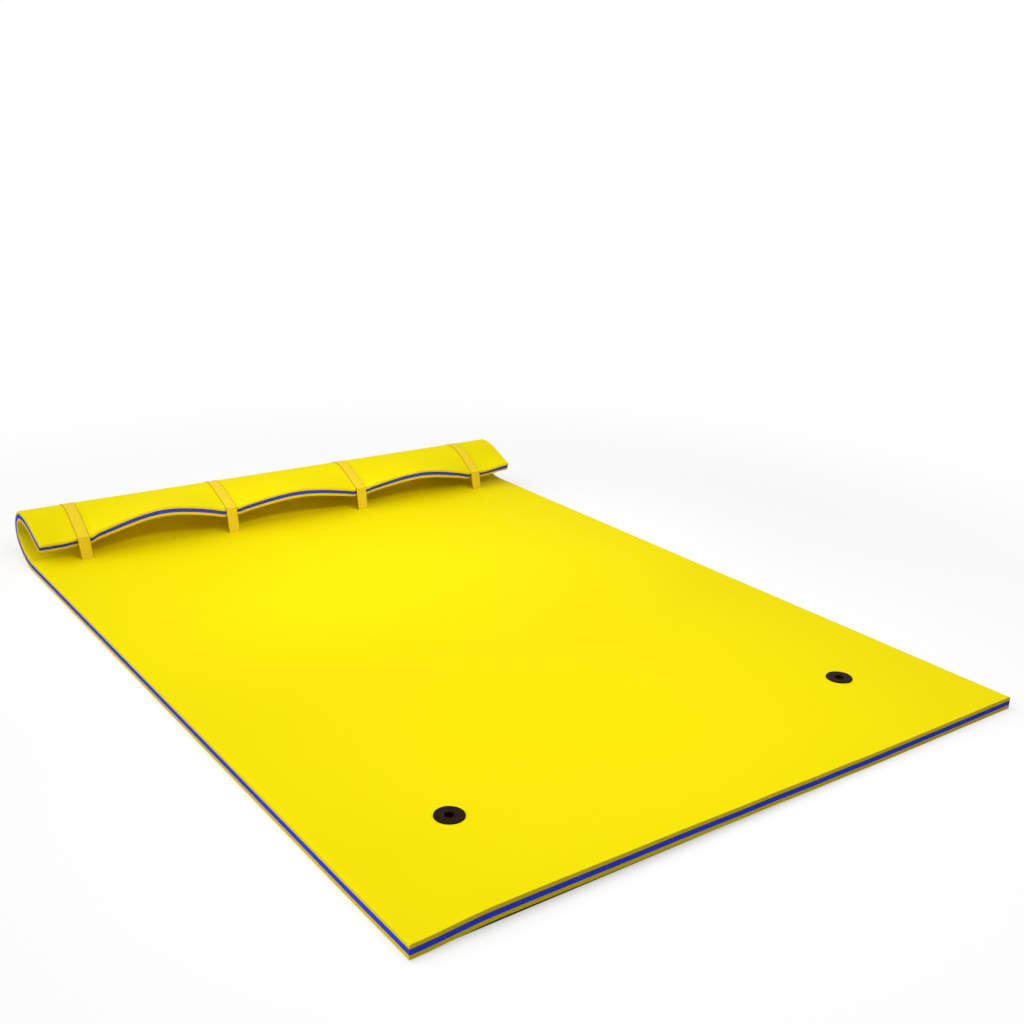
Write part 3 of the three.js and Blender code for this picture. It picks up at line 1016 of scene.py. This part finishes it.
    def kept_cells(self, x_lines: Array, s_lines: Array) -> NDArray[np.bool_]:
        """Which of the grid's cells are foam: all but those in the slits and the eyelets' holes."""
        x = (x_lines[1:] + x_lines[:-1])[:, None] / 2
        s = (s_lines[1:] + s_lines[:-1])[None, :] / 2
        kept = np.ones((x.shape[0], s.shape[1]), bool)
        in_slits = np.abs(s - self.sheet.slit) < self.slit_half_width
        for centre in self.sheet.strap_centres:
            kept &= ~((np.abs(x - centre) < self.slit_half_length) & in_slits)
        radius = self.eyelet.barrel + self.eyelet.clearance
        in_holes = np.abs(s - self.eyelet.from_foot) < radius
        for place in self.eyelet.places(self.sheet.width):
            kept &= ~((np.abs(x - place) < radius) & in_holes)
        return kept

    def build(self) -> None:
        """Makes the three layers, each with softened edges."""
        half = self.sheet.half
        skin_low = half - self.sheet.skin
        core_high = skin_low - 0.1 * MM
        layers = (
            ("bottom_foam", YELLOW_FOAM, "foam_yellow", -half, -skin_low),
            ("core_foam", BLUE_FOAM, "foam_blue", -core_high, core_high),
            ("top_foam", YELLOW_FOAM, "foam_yellow", skin_low, half),
        )
        materials = {finish.name: finish.material() for finish in (YELLOW_FOAM, BLUE_FOAM)}
        for node, finish, slot, low, high in layers:
            points, groups, cut = self.slab(low, high)
            piece = make_piece(f"{node}_sheet", points, groups, materials[finish.name], cut=cut)
            bevel = piece.modifiers.new("soft_edges", "BEVEL")
            bevel.width = self.edge_rounding if finish is YELLOW_FOAM else self.edge_rounding / 2
            bevel.segments = 2
            bevel.limit_method = "ANGLE"
            bevel.angle_limit = math.radians(self.edge_angle)
            bevel.harden_normals = True
            dress(piece, ROOT_BODY, slot, node)


# The straps


@dataclass
class Strap:
    """One strap over the pillow: its webbing, ring, fold and tail, with the hook and loop tape between.
    Lengths counted in steps are in the back bend's steps."""

    sheet: Sheet
    index: int
    materials: dict[str, bpy.types.Material]
    width: float = 40 * MM
    thickness: float = 1.5 * MM
    clearance: float = 0.3 * MM
    bar_height: float = 4.5 * MM
    window_height: float = 8 * MM
    ring_side_width: float = 4.5 * MM
    ring_side_clearance: float = 1 * MM
    ring_corner: float = 5 * MM
    window_corner: float = 1.6 * MM
    bar_rounding: float = 1.1 * MM
    hook: float = 1.4 * MM
    loop: float = 1.4 * MM
    loop_sink: float = 0.3 * MM
    fold_leg: float = 1 * MM
    patch_inset: float = 1.5 * MM
    patch_start: float = 1.5
    tail_steps: float = 5.5
    tail_give: float = 0.2 * MM
    back_steps: int = 12
    ring_step: int = 6
    pressed: float = 0.6 * MM
    lap: float = 0.1 * MM
    sewn_start: float = math.radians(31)
    sewn_end: float = math.radians(15)
    glide_shares: tuple[float, float] = (0.45, 0.55)
    ring_gap: float = math.radians(9)
    edge_turn: float = 1.3 * MM
    slit_turn: float = 1.6 * MM
    slit_lead: float = 4 * MM
    stitch_half_length: float = 1.35 * MM
    stitch_pitch: float = 3.2 * MM
    stitch_lift: float = 0.02 * MM
    thread_radius: float = 0.34 * MM

    def __post_init__(self) -> None:
        """Names the strap and works out its places on the ring."""
        sheet = self.sheet
        self.name = f"strap_{self.index + 1}"
        self.end_body = f"{self.name}_end"
        self.centre = float(sheet.strap_centres[self.index])
        self.slope = math.radians(sheet.strap_angles[self.index])
        self.seat = self.clearance + self.thickness / 2
        self.dent = self.thickness + 2 * self.clearance
        self.ring_thickness = self.hook + self.loop + self.clearance
        self.bar_seat = self.dent + self.ring_thickness / 2
        self.wrap_radius = self.ring_thickness / 2 + self.seat
        self.tail_seat = self.bar_seat + self.wrap_radius
        self.step = (math.pi - sheet.rise_angle) / self.back_steps
        self.ring_heading = sheet.rise_angle + (self.ring_step + 0.5) * self.step
        self.flat = sheet.outer_radius * math.cos(self.step / 2)
        self.fold_low = -self.window_height / 2 - self.fold_leg

    def at(self, up: Array, out: Array) -> Array:
        """Points beside the ring, as rows of y from the foot and z.

        Args:
            up: How far up the back bend from the ring's middle.
            out: How far out from the flat that the ring lies on.

        Returns:
            The rows.
        """
        cy, cz = self.sheet.back_centre
        heading = self.ring_heading
        out = np.asarray(out, float) + self.flat
        y = cy + up * math.cos(heading) + out * math.sin(heading)
        z = cz + up * math.sin(heading) - out * math.cos(heading)
        return np.stack(np.broadcast_arrays(y, z), -1)

    def round_back(self, headings: Array, out: float) -> Array:
        """Points round the back bend at some headings, so far out from its outer face."""
        cy, cz = self.sheet.back_centre
        radius = self.sheet.outer_radius + out
        return np.stack([cy + radius * np.sin(headings), cz - radius * np.cos(headings)], -1)

    def over(self, s: Array, out: Array) -> Array:
        """Points over the underside at distances s from the foot, so far out from it."""
        y, z, heading = self.sheet.middle(s, self.slope + 0 * s)
        off = -self.sheet.half - out
        return np.stack([y - off * np.sin(heading), z + off * np.cos(heading)], -1)

    def wrap(self, up: float, towards: int, steps: int = 14) -> Array:
        """Half a turn round a bar's edge, from the foam's side outwards: out goes as minus the cosine of
        the angle and up as its sine."""
        angle = np.linspace(0, math.pi, steps)
        radius = self.wrap_radius
        return self.at(up + towards * radius * np.sin(angle), self.bar_seat - radius * np.cos(angle))

    def lean(self, rows: Array, s: Array) -> Array:
        """Adds to rows of y and z the place across the mat of the strap's middle line at s."""
        return np.column_stack([self.sheet.leaning(self.centre, s), rows])

    def centred(self, rows: Array) -> Array:
        """Adds to rows of y and z the strap's place across the mat, where it doesn't lean."""
        return np.column_stack([np.full(len(rows), self.centre), rows])

    def route(self) -> Array:
        """The webbing's middle line, from its sewn end, round the upper bar, over the pillow, down through
        the slit, under the mat and up the back to the lower bar."""
        sheet = self.sheet
        pressed = self.seat - self.pressed
        over_s = np.concatenate(
            [
                sheet.along_back(np.linspace(self.ring_heading + self.ring_gap, math.pi, 24)),
                np.linspace(sheet.flap_start, sheet.length - 1.5 * MM, 26)[1:],
            ]
        )
        bend_rows = self.edge_rows(pressed)
        rise_s = np.linspace(
            sheet.slit + 6 * MM, sheet.along_back(self.ring_heading - self.ring_gap), 60
        )
        rise_rows = self.over(rise_s, pressed + 0 * rise_s)
        rise_rows[:, 1] = np.maximum(rise_rows[:, 1], self.seat)
        rise_rows[rise_s < sheet.floor_length, 1] = self.seat
        end_rows = self.at(np.array([self.fold_low]), self.seat)
        rows = [
            self.centred(self.sewn_rows(pressed)),
            self.lean(self.over(over_s, pressed + 0 * over_s), over_s),
            self.lean(bend_rows, np.full(len(bend_rows), sheet.length)),
            self.centred(np.concatenate([self.slit_rows(), rise_rows, end_rows])),
        ]
        return np.concatenate(rows)

    def sewn_rows(self, pressed: float) -> Array:
        """The webbing's sewn end, its glide up on to the ring and its turn round the upper bar. The glide
        is a curve of (1-t)^2, 2t(1-t) and t^2 parts of its start, a point between and its end.

        Args:
            pressed: How far out from the foam the webbing lies.

        Returns:
            The points, as rows of y and z.
        """
        turn = (self.ring_heading + self.sewn_start, self.ring_heading + self.sewn_end)
        sewn = self.round_back(np.linspace(*turn, 10), pressed + self.thickness + self.lap)
        bar_top = self.window_height / 2 + self.bar_height
        outside = self.at(np.array([bar_top + 0.6 * MM, bar_top - 1.5 * MM]), self.tail_seat - self.lap)
        t = np.linspace(0, 1, 9)[1:-1, None]
        near, far = self.glide_shares
        glide = sewn[-1] * (1 - t) ** 2 + (sewn[-1] * near + outside[0] * far) * 2 * t * (1 - t)
        glide = glide + outside[0] * t**2
        bar = self.wrap(self.window_height / 2, -1)[::-1]
        return np.concatenate([sewn, glide, outside, bar])

    def edge_rows(self, pressed: float) -> Array:
        """The webbing's turn round the free edge, from the flap's heading to the way down to the slit.

        Args:
            pressed: How far out from the foam the webbing lies.

        Returns:
            The points, as rows of y and z.
        """
        sheet = self.sheet
        corner = self.over(np.array([sheet.length - self.edge_turn]), np.array([-self.edge_turn]))[0]
        drop = np.array([sheet.slit, 2 * sheet.half]) - corner
        down = math.atan2(drop[1], drop[0]) % (2 * math.pi)
        turn = np.linspace(math.pi + self.slope, down, 8)
        radius = self.edge_turn + pressed
        return corner + radius * np.stack([np.sin(turn), -np.cos(turn)], -1)

    def slit_rows(self) -> Array:
        """The webbing's way down through the slit and its turn under the mat, as rows of y and z."""
        slit, top = self.sheet.slit, 2 * self.sheet.half
        radius = self.slit_turn
        low = self.seat + radius
        t = np.linspace(0, math.pi / 2, 6)
        drop = [[slit, top + 1 * MM], [slit, top - self.slit_lead], [slit, low + self.slit_lead]]
        turn = np.stack([slit + radius * (1 - np.cos(t)), low - radius * np.sin(t)], -1)
        return np.concatenate([np.array(drop), turn])

    def fold_route(self) -> Array:
        """The middle line of the webbing's half turn round the lower bar, with a short leg on each side."""
        low, wrap = self.fold_low, self.wrap(-self.window_height / 2, 1)
        return self.centred(np.concatenate([self.at(low, [self.seat]), wrap, self.at(low, [self.tail_seat])]))

    def tail_route(self) -> Array:
        """The middle line of the loose end, from the lower bar down round the back of the pillow."""
        start, end = self.ring_heading - self.ring_gap, self.ring_heading - self.tail_steps * self.step
        rows = self.round_back(np.linspace(start, end, 30), self.tail_seat - self.tail_give)
        return self.centred(np.concatenate([self.at(self.fold_low, [self.tail_seat]), rows]))

    def patch_route(self, out: float, steps: float) -> Array:
        """The middle line of a tape that lies between the band and the tail.

        Args:
            out: How far it lies out from the foam.
            steps: How many of the back bend's steps it spans.

        Returns:
            The line's points.
        """
        start = self.ring_heading - self.patch_start * self.step
        end = self.ring_heading - (self.patch_start + steps) * self.step
        return self.centred(self.round_back(np.linspace(start, end, 24), out))

    def placed(self, route: Array) -> Array:
        """A route, moved from distances from the foot to the frame."""
        return route - np.array([0, self.sheet.origin, 0])

    def measured(self, route: Array) -> tuple[Array, Array, Array]:
        """A route in the frame.

        Args:
            route: Its points, as distances from the foot.

        Returns:
            Its points, its direction in the YZ plane at each, and its length up to each.
        """
        middle = self.placed(route)
        tangent = np.gradient(middle[:, 1:], axis=0)
        tangent /= np.linalg.norm(tangent, axis=1)[:, None]
        length = np.concatenate([[0], np.cumsum(np.linalg.norm(np.diff(middle, axis=0), axis=1))])
        return middle, tangent, length

    def ribbon(
        self, route: Array, width: float, thickness: float, selvedge: float
    ) -> tuple[Array, list[Faces], Array]:
        """A flat strip along a route: each point of a rounded section goes to the route's point, plus its
        place across the strip along X, plus its height along the route's normal in the YZ plane.

        Args:
            route: The middle line's points.
            width: The strip's width.
            thickness: Its thickness.
            selvedge: How much thicker its edges are on each face.

        Returns:
            The points, the faces and each point's place on the strip.
        """
        middle, tangent, length = self.measured(route)
        high = thickness / 2
        flat = np.array([-1, -0.6, -0.2, 0.2, 0.6, 1]) * (width / 2 - 1.6 * MM)
        edge = width / 2 - np.array([0.9, 0.35, 0]) * MM
        level = np.full(len(flat), high - selvedge)
        rise = np.array([high, 0.75 * high, 0])
        across = np.concatenate([flat, edge, edge[1::-1], flat[::-1], -edge, -edge[1::-1]])
        height = np.concatenate([level, rise, -rise[1::-1], -level, -rise, rise[1::-1]])
        points = np.stack(
            [
                middle[:, 0, None] + across,
                middle[:, 1, None] + height * -tangent[:, 1, None],
                middle[:, 2, None] + height * tangent[:, 0, None],
            ],
            -1,
        )
        rows, columns = points.shape[:2]
        uv = np.stack(np.broadcast_arrays(across + self.width / 2, length[:, None]), -1)
        ends = [np.arange(columns)[None, ::-1], (rows - 1) * columns + np.arange(columns)[None, :]]
        faces = [grid_faces(rows, columns, closed_columns=True), np.concatenate(ends)]
        return points.reshape(-1, 3), faces, uv.reshape(-1, 2)

    def webbing(self, name: str, route: Array) -> bpy.types.Object:
        """Makes a length of webbing along a route."""
        return self.strip(name, route, WEBBING.name, self.width, self.thickness, 0.08 * MM)

    def strip(
        self, name: str, route: Array, finish: str, width: float, thickness: float, selvedge: float = 0.0
    ) -> bpy.types.Object:
        """Makes a flat strip along a route.

        Args:
            name: The piece's name, after the strap's.
            route: The middle line's points.
            finish: The finish's name.
            width: The strip's width.
            thickness: Its thickness.
            selvedge: How much thicker its edges are on each face.

        Returns:
            The piece.
        """
        points, faces, uv = self.ribbon(route, width, thickness, selvedge)
        return make_piece(f"{self.name}_{name}", points, faces, self.materials[finish], uv=uv)

    def ring_mesh(self) -> tuple[Array, list[Faces]]:
        """The ring: a point at share a from its outer to its inner outline, and at height b, for each point
        (a, b) of a rounded section."""
        half_window = self.width / 2 + self.ring_side_clearance
        outer = np.array([half_window + self.ring_side_width, self.window_height / 2 + self.bar_height])
        inner = np.array([half_window, self.window_height / 2])
        signs = np.array([[-1, -1], [1, -1], [1, 1], [-1, 1]])
        outline = rounded(signs * outer, self.ring_corner, 8)
        window = rounded(signs * inner, self.window_corner, 8)
        high, wide = self.ring_thickness / 2, self.bar_height
        corners = np.array([[0, -high], [wide, -high], [wide, high], [0, high]])
        section = rounded(corners, self.bar_rounding, 5)
        share, b = section[:, 0] / wide, section[:, 1]
        flat = outline[:, None] * (1 - share)[None, :, None] + window[:, None] * share[None, :, None]
        rows = self.at(flat[..., 1], self.bar_seat + b[None, :] + 0 * flat[..., 1])
        points = np.concatenate([(flat[..., 0] + self.centre)[..., None], rows], -1)
        return self.placed(points.reshape(-1, 3)), [grid_faces(len(outline), len(section), True, True)]

    def stitches(
        self, route: Array, across: Array, along: Array, turn: Array, side: float
    ) -> tuple[Array, Faces]:
        """Small threads lying on a strip. Each is a spindle of seven rings of six points, whose radius goes
        as the square root of the sine along it, a little more so that its ends stay open.

        Args:
            route: The strip's middle line.
            across: Each stitch's place across the strip, from its middle.
            along: Each stitch's place along the strip.
            turn: Each stitch's angle on the strip, 0 along it.
            side: 1 or -1, for the strip's two faces.

        Returns:
            The points and the faces.
        """
        rings, around = 7, 6
        middle, tangent, length = self.measured(route)
        centre = np.stack([np.interp(along, length, middle[:, k]) for k in range(3)], -1)
        way = np.stack([0 * along, *(np.interp(along, length, tangent[:, k]) for k in range(2))], -1)
        way /= np.linalg.norm(way, axis=1)[:, None]
        sideways = np.array([[1.0, 0, 0]])
        normal = np.stack([0 * along, -way[:, 2], way[:, 1]], -1)
        lift = self.thickness / 2 + self.stitch_lift
        centre = centre + across[:, None] * sideways + side * lift * normal
        run = way * np.cos(turn)[:, None] + sideways * np.sin(turn)[:, None]
        beside = np.cross(normal, run)
        t = np.linspace(0, math.pi, rings)[:, None]
        angle = np.arange(around)[None, :] * (2 * math.pi / around)
        girth = self.thread_radius * np.sqrt(np.sin(t) + 0.02)
        forwards = -self.stitch_half_length * np.cos(t) + 0 * angle
        shifts = ((forwards, run), (girth * np.cos(angle), beside), (girth * np.sin(angle), normal))
        moved = sum(part.ravel()[None, :, None] * axis[:, None, :] for part, axis in shifts)
        points = centre[:, None, :] + moved
        starts = np.arange(len(along)) * rings * around
        faces = grid_faces(rings, around, closed_columns=True)[None] + starts[:, None, None]
        return points.reshape(-1, 3), faces.reshape(-1, 4)

    def seam(self, low: Array, high: Array) -> tuple[Array, Array, Array]:
        """A rectangle of stitches.

        Args:
            low: Its lowest place across and along the strip.
            high: Its highest.

        Returns:
            Each stitch's place across and along the strip, and its turn.
        """
        count = np.maximum(np.round((high - low) / self.stitch_pitch), 1).astype(int)
        u, v = (low[k] + (np.arange(count[k]) + 0.5) * (high[k] - low[k]) / count[k] for k in (0, 1))
        across = np.concatenate([u, u, np.full(len(v), low[0]), np.full(len(v), high[0])])
        along = np.concatenate([np.full(len(u), low[1]), np.full(len(u), high[1]), v, v])
        turn = np.concatenate([np.full(2 * len(u), math.pi / 2), np.zeros(2 * len(v))])
        return across, along, turn

    def sew(
        self, name: str, body: str, route: Array, half_width: float, start: float, end: float, side: float
    ) -> None:
        """Makes a rectangle of stitches as one piece.

        Args:
            name: The piece's name, after the strap's.
            body: The body that it rides on.
            route: The strip's middle line.
            half_width: How far the rectangle reaches from the strip's middle.
            start: Where it starts along the strip.
            end: Where it ends.
            side: 1 or -1, for the strip's two faces.
        """
        seam = self.seam(np.array([-half_width, start]), np.array([half_width, end]))
        points, faces = self.stitches(route, *seam, side)
        piece = make_piece(f"{self.name}_{name}", points, [faces], self.materials[THREAD.name])
        dress(piece, body, "webbing")

    def build(self) -> None:
        """Makes the strap's pieces."""
        name, route, tail = self.name, self.route(), self.tail_route()
        dress(self.webbing("band", route), ROOT_BODY, "webbing", f"{name}_webbing")
        points, faces = self.ring_mesh()
        ring = make_piece(f"{name}_buckle_ring", points, faces, self.materials[BLACK_PLASTIC.name])
        dress(ring, ROOT_BODY, "black_plastic", f"{name}_ring")
        self.build_fold()
        dress(self.webbing("loose_end", tail), self.end_body, "webbing", f"{name}_tail")
        self.build_tapes()
        edge = self.width / 2 - self.patch_inset - 1.8 * MM
        self.sew("hook_stitches", self.end_body, tail, edge, 12 * MM, 50 * MM, -1)
        self.sew("sewn_end_stitches", ROOT_BODY, route, 16 * MM, 2.5 * MM, 17 * MM, 1)

    def build_fold(self) -> None:
        """Makes the fold of webbing round the lower bar, between the band and the loose end, in place of the
        fold's node.
        """
        fold = self.webbing("bar_fold", self.fold_route())
        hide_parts(f"{self.name}_fold")
        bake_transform(fold)

    def build_tapes(self) -> None:
        """Makes the loop tape on the band and the hook tape on the loose end."""
        width = self.width - 2 * self.patch_inset
        loop_out = self.dent + self.loop / 2 - self.loop_sink
        hook_out = self.tail_seat - self.seat - self.hook / 2 - self.lap
        tapes = (
            ("loop", ROOT_BODY, LOOP_TAPE.name, loop_out, 4, self.loop),
            ("hook", self.end_body, HOOK_TAPE.name, hook_out, 3, self.hook),
        )
        for kind, body, finish, out, steps, thickness in tapes:
            piece = self.strip(f"{kind}_tape", self.patch_route(out, steps), finish, width, thickness)
            dress(piece, body, finish, f"{self.name}_{kind}_patch")


@dataclass
class Straps:
    """The four straps."""

    sheet: Sheet

    def build(self) -> None:
        """Makes each strap, with one set of finishes for them all."""
        finishes = (WEBBING, BLACK_PLASTIC, HOOK_TAPE, LOOP_TAPE, THREAD)
        materials = {finish.name: finish.material() for finish in finishes}
        for index in range(len(self.sheet.strap_angles)):
            Strap(self.sheet, index, materials).build()


# The eyelets


@dataclass
class Eyelets:
    """The two eyelets, each a flange with its barrel above and a washer below."""

    sheet: Sheet
    sizes: EyeletSizes
    gap: float = 0.3 * MM
    bead: float = 3.0 * MM
    face: float = 2.2 * MM
    edge: float = 1.3 * MM
    flange_rounding: float = 0.55 * MM
    washer: float = 2.2 * MM
    counterbore: float = 1.2 * MM
    washer_rounding: float = 0.35 * MM

    def flange_profile(self) -> Array:
        """The flange's outline as radius and height: the barrel with its snap lip, and the flange with a
        bead round its rim and one round its bore."""
        seat = 2 * self.sheet.half + self.gap
        bore, barrel, rim = self.sizes.bore, self.sizes.barrel, self.sizes.flange
        top, face = seat + self.bead, seat + self.face
        shape = [
            [bore, 0],
            [barrel + 0.7 * MM, 0],
            [barrel + 1.4 * MM, 0.45 * MM],
            [barrel, 0.9 * MM],
            [barrel, seat],
            [rim, seat],
            [rim, seat + self.edge],
            [rim - 0.8 * MM, top],
            [rim - 2.6 * MM, top],
            [rim - 3.4 * MM, face],
            [bore + 3.8 * MM, face],
            [bore + 3 * MM, top],
            [bore + 0.8 * MM, top],
            [bore, top - 0.8 * MM],
        ]
        return rounded(np.array(shape), self.flange_rounding, 4)

    def washer_profile(self) -> Array:
        """The washer's outline as radius and height, with a counterbore for the flange's snap lip."""
        rim = self.sizes.flange
        hole, wide_hole = self.sizes.barrel + 0.3 * MM, self.sizes.barrel + 1.7 * MM
        shape = [
            [wide_hole, 0],
            [rim - 0.8 * MM, 0],
            [rim, 1 * MM],
            [rim, self.washer],
            [hole, self.washer],
            [hole, self.counterbore],
            [wide_hole, self.counterbore],
        ]
        return rounded(np.array(shape), self.washer_rounding, 4)

    def build(self) -> None:
        """Makes both eyelets."""
        material = BLACK_PLASTIC.material()
        y = self.sizes.from_foot - self.sheet.origin
        for name, x in zip(("left", "right"), self.sizes.places(self.sheet.width)):
            for part, profile in (("flange", self.flange_profile()), ("washer", self.washer_profile())):
                points, faces = turned(profile, x, y)
                piece = make_piece(f"{name}_eyelet_{part}", points, faces, material)
                dress(piece, ROOT_BODY, "black_plastic", f"grommet_{name}_{part}")


# The stage


def posed(name: str, data: bpy.types.ID, axes: tuple[Array, Array, Array], place: Array) -> bpy.types.Object:
    """Puts a camera or a lamp in the scene.

    Args:
        name: Its name.
        data: Its camera or lamp.
        axes: The directions of its right, its top and its back.
        place: Where it is.

    Returns:
        The object.
    """
    matrix = np.eye(4)
    matrix[:3, 0], matrix[:3, 1], matrix[:3, 2] = axes
    matrix[:3, 3] = place
    item = bpy.data.objects.new(name, data)
    item.matrix_world = Matrix(matrix.tolist())
    bpy.context.scene.collection.objects.link(item)
    return item


@dataclass
class Stage:
    """The floor, the light and the camera. Lengths of the picture are in pixels, the sensor's width in
    millimetres and angles in degrees."""

    focal_pixels: float = 1258.59
    frame_pixels: float = 1024
    sensor: float = 36.0
    azimuth: float = -36.43
    elevation: float = 18.18
    roll: float = -1.77
    place: tuple[float, float, float] = (-1908.77 * MM, -1615.35 * MM, 1474.51 * MM)
    farthest: float = 200
    floor_reach: float = 60.0
    floor_drop: float = 0.4 * MM
    floor_shade: float = 0.5
    bounce_shade: float = 0.55
    floor_glow: float = 0.52
    white_start: float = 1.0
    white_end: float = 3.2
    # The floor's painted shadow under the mat: black from 10 mm inside the mat's edge, gone by 6 mm inside
    # it.
    painted_shadow_inner: float = -10 * MM
    painted_shadow_outer: float = -6 * MM
    low_sky: float = 0.12
    high_sky: float = 0.42

    def camera(self, origin: float) -> None:
        """Makes the camera. Its back points to azimuth and elevation, and it rolls about that.

        Args:
            origin: The frame's origin, as a distance from the foot.
        """
        a, e, r = (math.radians(angle) for angle in (self.azimuth, self.elevation, self.roll))
        back = np.array([math.sin(a) * math.cos(e), -math.cos(a) * math.cos(e), math.sin(e)])
        right = np.cross(-back, [0, 0, 1])
        right /= np.linalg.norm(right)
        down = np.cross(-back, right)
        rolled = math.cos(r) * right + math.sin(r) * down
        rolled_down = -math.sin(r) * right + math.cos(r) * down
        data = bpy.data.cameras.new("camera")
        data.sensor_width = self.sensor
        data.lens = self.focal_pixels / self.frame_pixels * self.sensor
        data.clip_end = self.farthest
        place = np.array(self.place) - [0, origin, 0]
        bpy.context.scene.camera = posed("camera", data, (rolled, -rolled_down, back), place)

    @staticmethod
    def aimed(name: str, data: bpy.types.Light, place: Array, back: Array) -> None:
        """Puts a lamp in the scene at a place, with its back in a direction."""
        back = back / np.linalg.norm(back)
        right = np.cross([0, 1, 0.01], back)
        right /= np.linalg.norm(right)
        posed(name, data, (right, np.cross(back, right), back), place).visible_camera = False

    def far_lamp(self, name: str, energy: float, towards: tuple[float, float, float], angle: float) -> None:
        """Makes a far lamp.

        Args:
            name: Its name.
            energy: Its strength.
            towards: The direction from the mat to it.
            angle: How wide it looks from the mat, in degrees.
        """
        data = bpy.data.lights.new(name, "SUN")
        data.energy = energy
        data.angle = math.radians(angle)
        self.aimed(name, data, np.zeros(3), np.array(towards))

    def soft_box(
        self,
        name: str,
        energy: float,
        place: tuple[float, float, float],
        target: tuple[float, float, float],
        size: tuple[float, float],
        spread: float,
    ) -> None:
        """Makes a soft box with a grid, which keeps its light together.

        Args:
            name: Its name.
            energy: Its strength.
            place: Where it hangs.
            target: The point that it faces.
            size: Its width and height.
            spread: The angle that its light spreads over, in degrees.
        """
        data = bpy.data.lights.new(name, "AREA")
        data.shape = "RECTANGLE"
        data.size, data.size_y = size
        data.energy = energy
        data.spread = math.radians(spread)
        self.aimed(name, data, np.array(place), np.array(place) - np.array(target))

    @staticmethod
    def seen(graph: Graph) -> Number:
        """1 for rays from the camera, mirrors and clear glass, and 0 for all others."""
        path = graph.node("ShaderNodeLightPath")
        kinds = ("Is Camera Ray", "Is Glossy Ray", "Is Transmission Ray")
        camera, glossy, transmission = (Number(graph, path.outputs[kind]) for kind in kinds)
        return camera.maximum(glossy).maximum(transmission)

    def floor(self, half_width: float, foot: float, flat_end: float) -> None:
        """Makes the pale floor. Where the mat lies on it, it is black and gives no light of its own: a
        painted shadow, which shows as a dark line under the lifted foot. Seen from below it is plain.
        make_piece turns its face down, so a ray from above meets its back.

        Args:
            half_width: Half the mat's width.
            foot: How far the foot's edge is from the frame's origin.
            flat_end: How far on the origin's other side the mat leaves the floor.
        """
        corners = [[-1, -1], [1, -1], [1, 1], [-1, 1]]
        reach, drop = self.floor_reach, self.floor_drop
        points = np.array([[x * reach, y * reach, -drop] for x, y in corners])
        graph = Graph("floor", Roughness=1.0, Specular_IOR_Level=0.0, Emission_Strength=1.0)
        x, y, _ = graph.parts(graph.place())
        far = ((x * x + y * y) ** 0.5).step(self.white_start, self.white_end)
        seen = self.seen(graph)
        beyond = (-foot - y).maximum(y - flat_end)
        # outside is 0 well inside the mat's outline, where the floor holds its painted shadow, and 1 beyond
        # it.
        outside = (x.size() - half_width).maximum(beyond).step(self.painted_shadow_inner, self.painted_shadow_outer)
        above = Number(graph, graph.node("ShaderNodeNewGeometry").outputs["Backfacing"])
        outside = outside.maximum(1 - above)
        black, white = (0.0, 0.0, 0.0), (1.0, 1.0, 1.0)
        # Painted shadow: to the camera the floor is black under the mat, and it gives no glow there.
        base = graph.mix(outside * (1 - far), black, shaded(white, self.floor_shade))
        shown = graph.mix(seen, shaded(white, self.bounce_shade), base)
        graph.feed(graph.shader.inputs["Base Color"], shown)
        glow = seen * outside * (self.floor_glow + far * (1 - self.floor_glow))
        graph.feed(graph.shader.inputs["Emission Color"], graph.mix(glow, black, white))
        make_piece("floor", points, [np.array([[0, 1, 2, 3]])], graph.material)

    def sky(self) -> None:
        """Makes a plain world, lighter overhead than at the horizon, that is white to the camera."""
        world = bpy.data.worlds.new("sky")
        world.use_nodes = True
        graph = Graph.of_tree(world.node_tree)
        background = world.node_tree.nodes["Background"]
        background.inputs["Color"].default_value = (1, 1, 1, 1)
        _, _, up = graph.parts(graph.node("ShaderNodeTexCoord").outputs["Generated"])
        light = self.low_sky + up.maximum(0.0) * (self.high_sky - self.low_sky)
        seen = self.seen(graph)
        graph.feed(background.inputs["Strength"], light + seen * (1 - light))
        bpy.context.scene.world = world

    def build(self, sheet: Sheet) -> None:
        """Makes the stage round a mat of some sizes."""
        self.camera(sheet.origin)
        self.floor(sheet.width / 2, sheet.origin, sheet.floor_length - sheet.origin)
        self.sky()
        self.far_lamp("key", energy=1.68, towards=(-0.95, 0.45, 1.0), angle=75)
        self.soft_box(
            "overhead",
            energy=11.5,
            place=(-0.1, -0.6, 2.7),
            target=(-0.1, -0.6, 0.0),
            size=(1.9, 1.6),
            spread=100,
        )
        self.soft_box(
            "front", energy=3.4, place=(0.0, -0.9, 1.75), target=(0.0, 1.15, 0.1), size=(2.0, 0.4), spread=60
        )
        bpy.context.scene.view_settings.view_transform = "Standard"


def main() -> None:
    """Builds the mat and its stage."""
    logging.basicConfig(level=logging.INFO, format="%(name)s %(message)s")
    sheet = Sheet()
    eyelet = EyeletSizes()
    Stage().build(sheet)
    Foam(sheet, eyelet).build()
    Eyelets(sheet, eyelet).build()
    Straps(sheet).build()


if __name__ == "__main__":
    main()
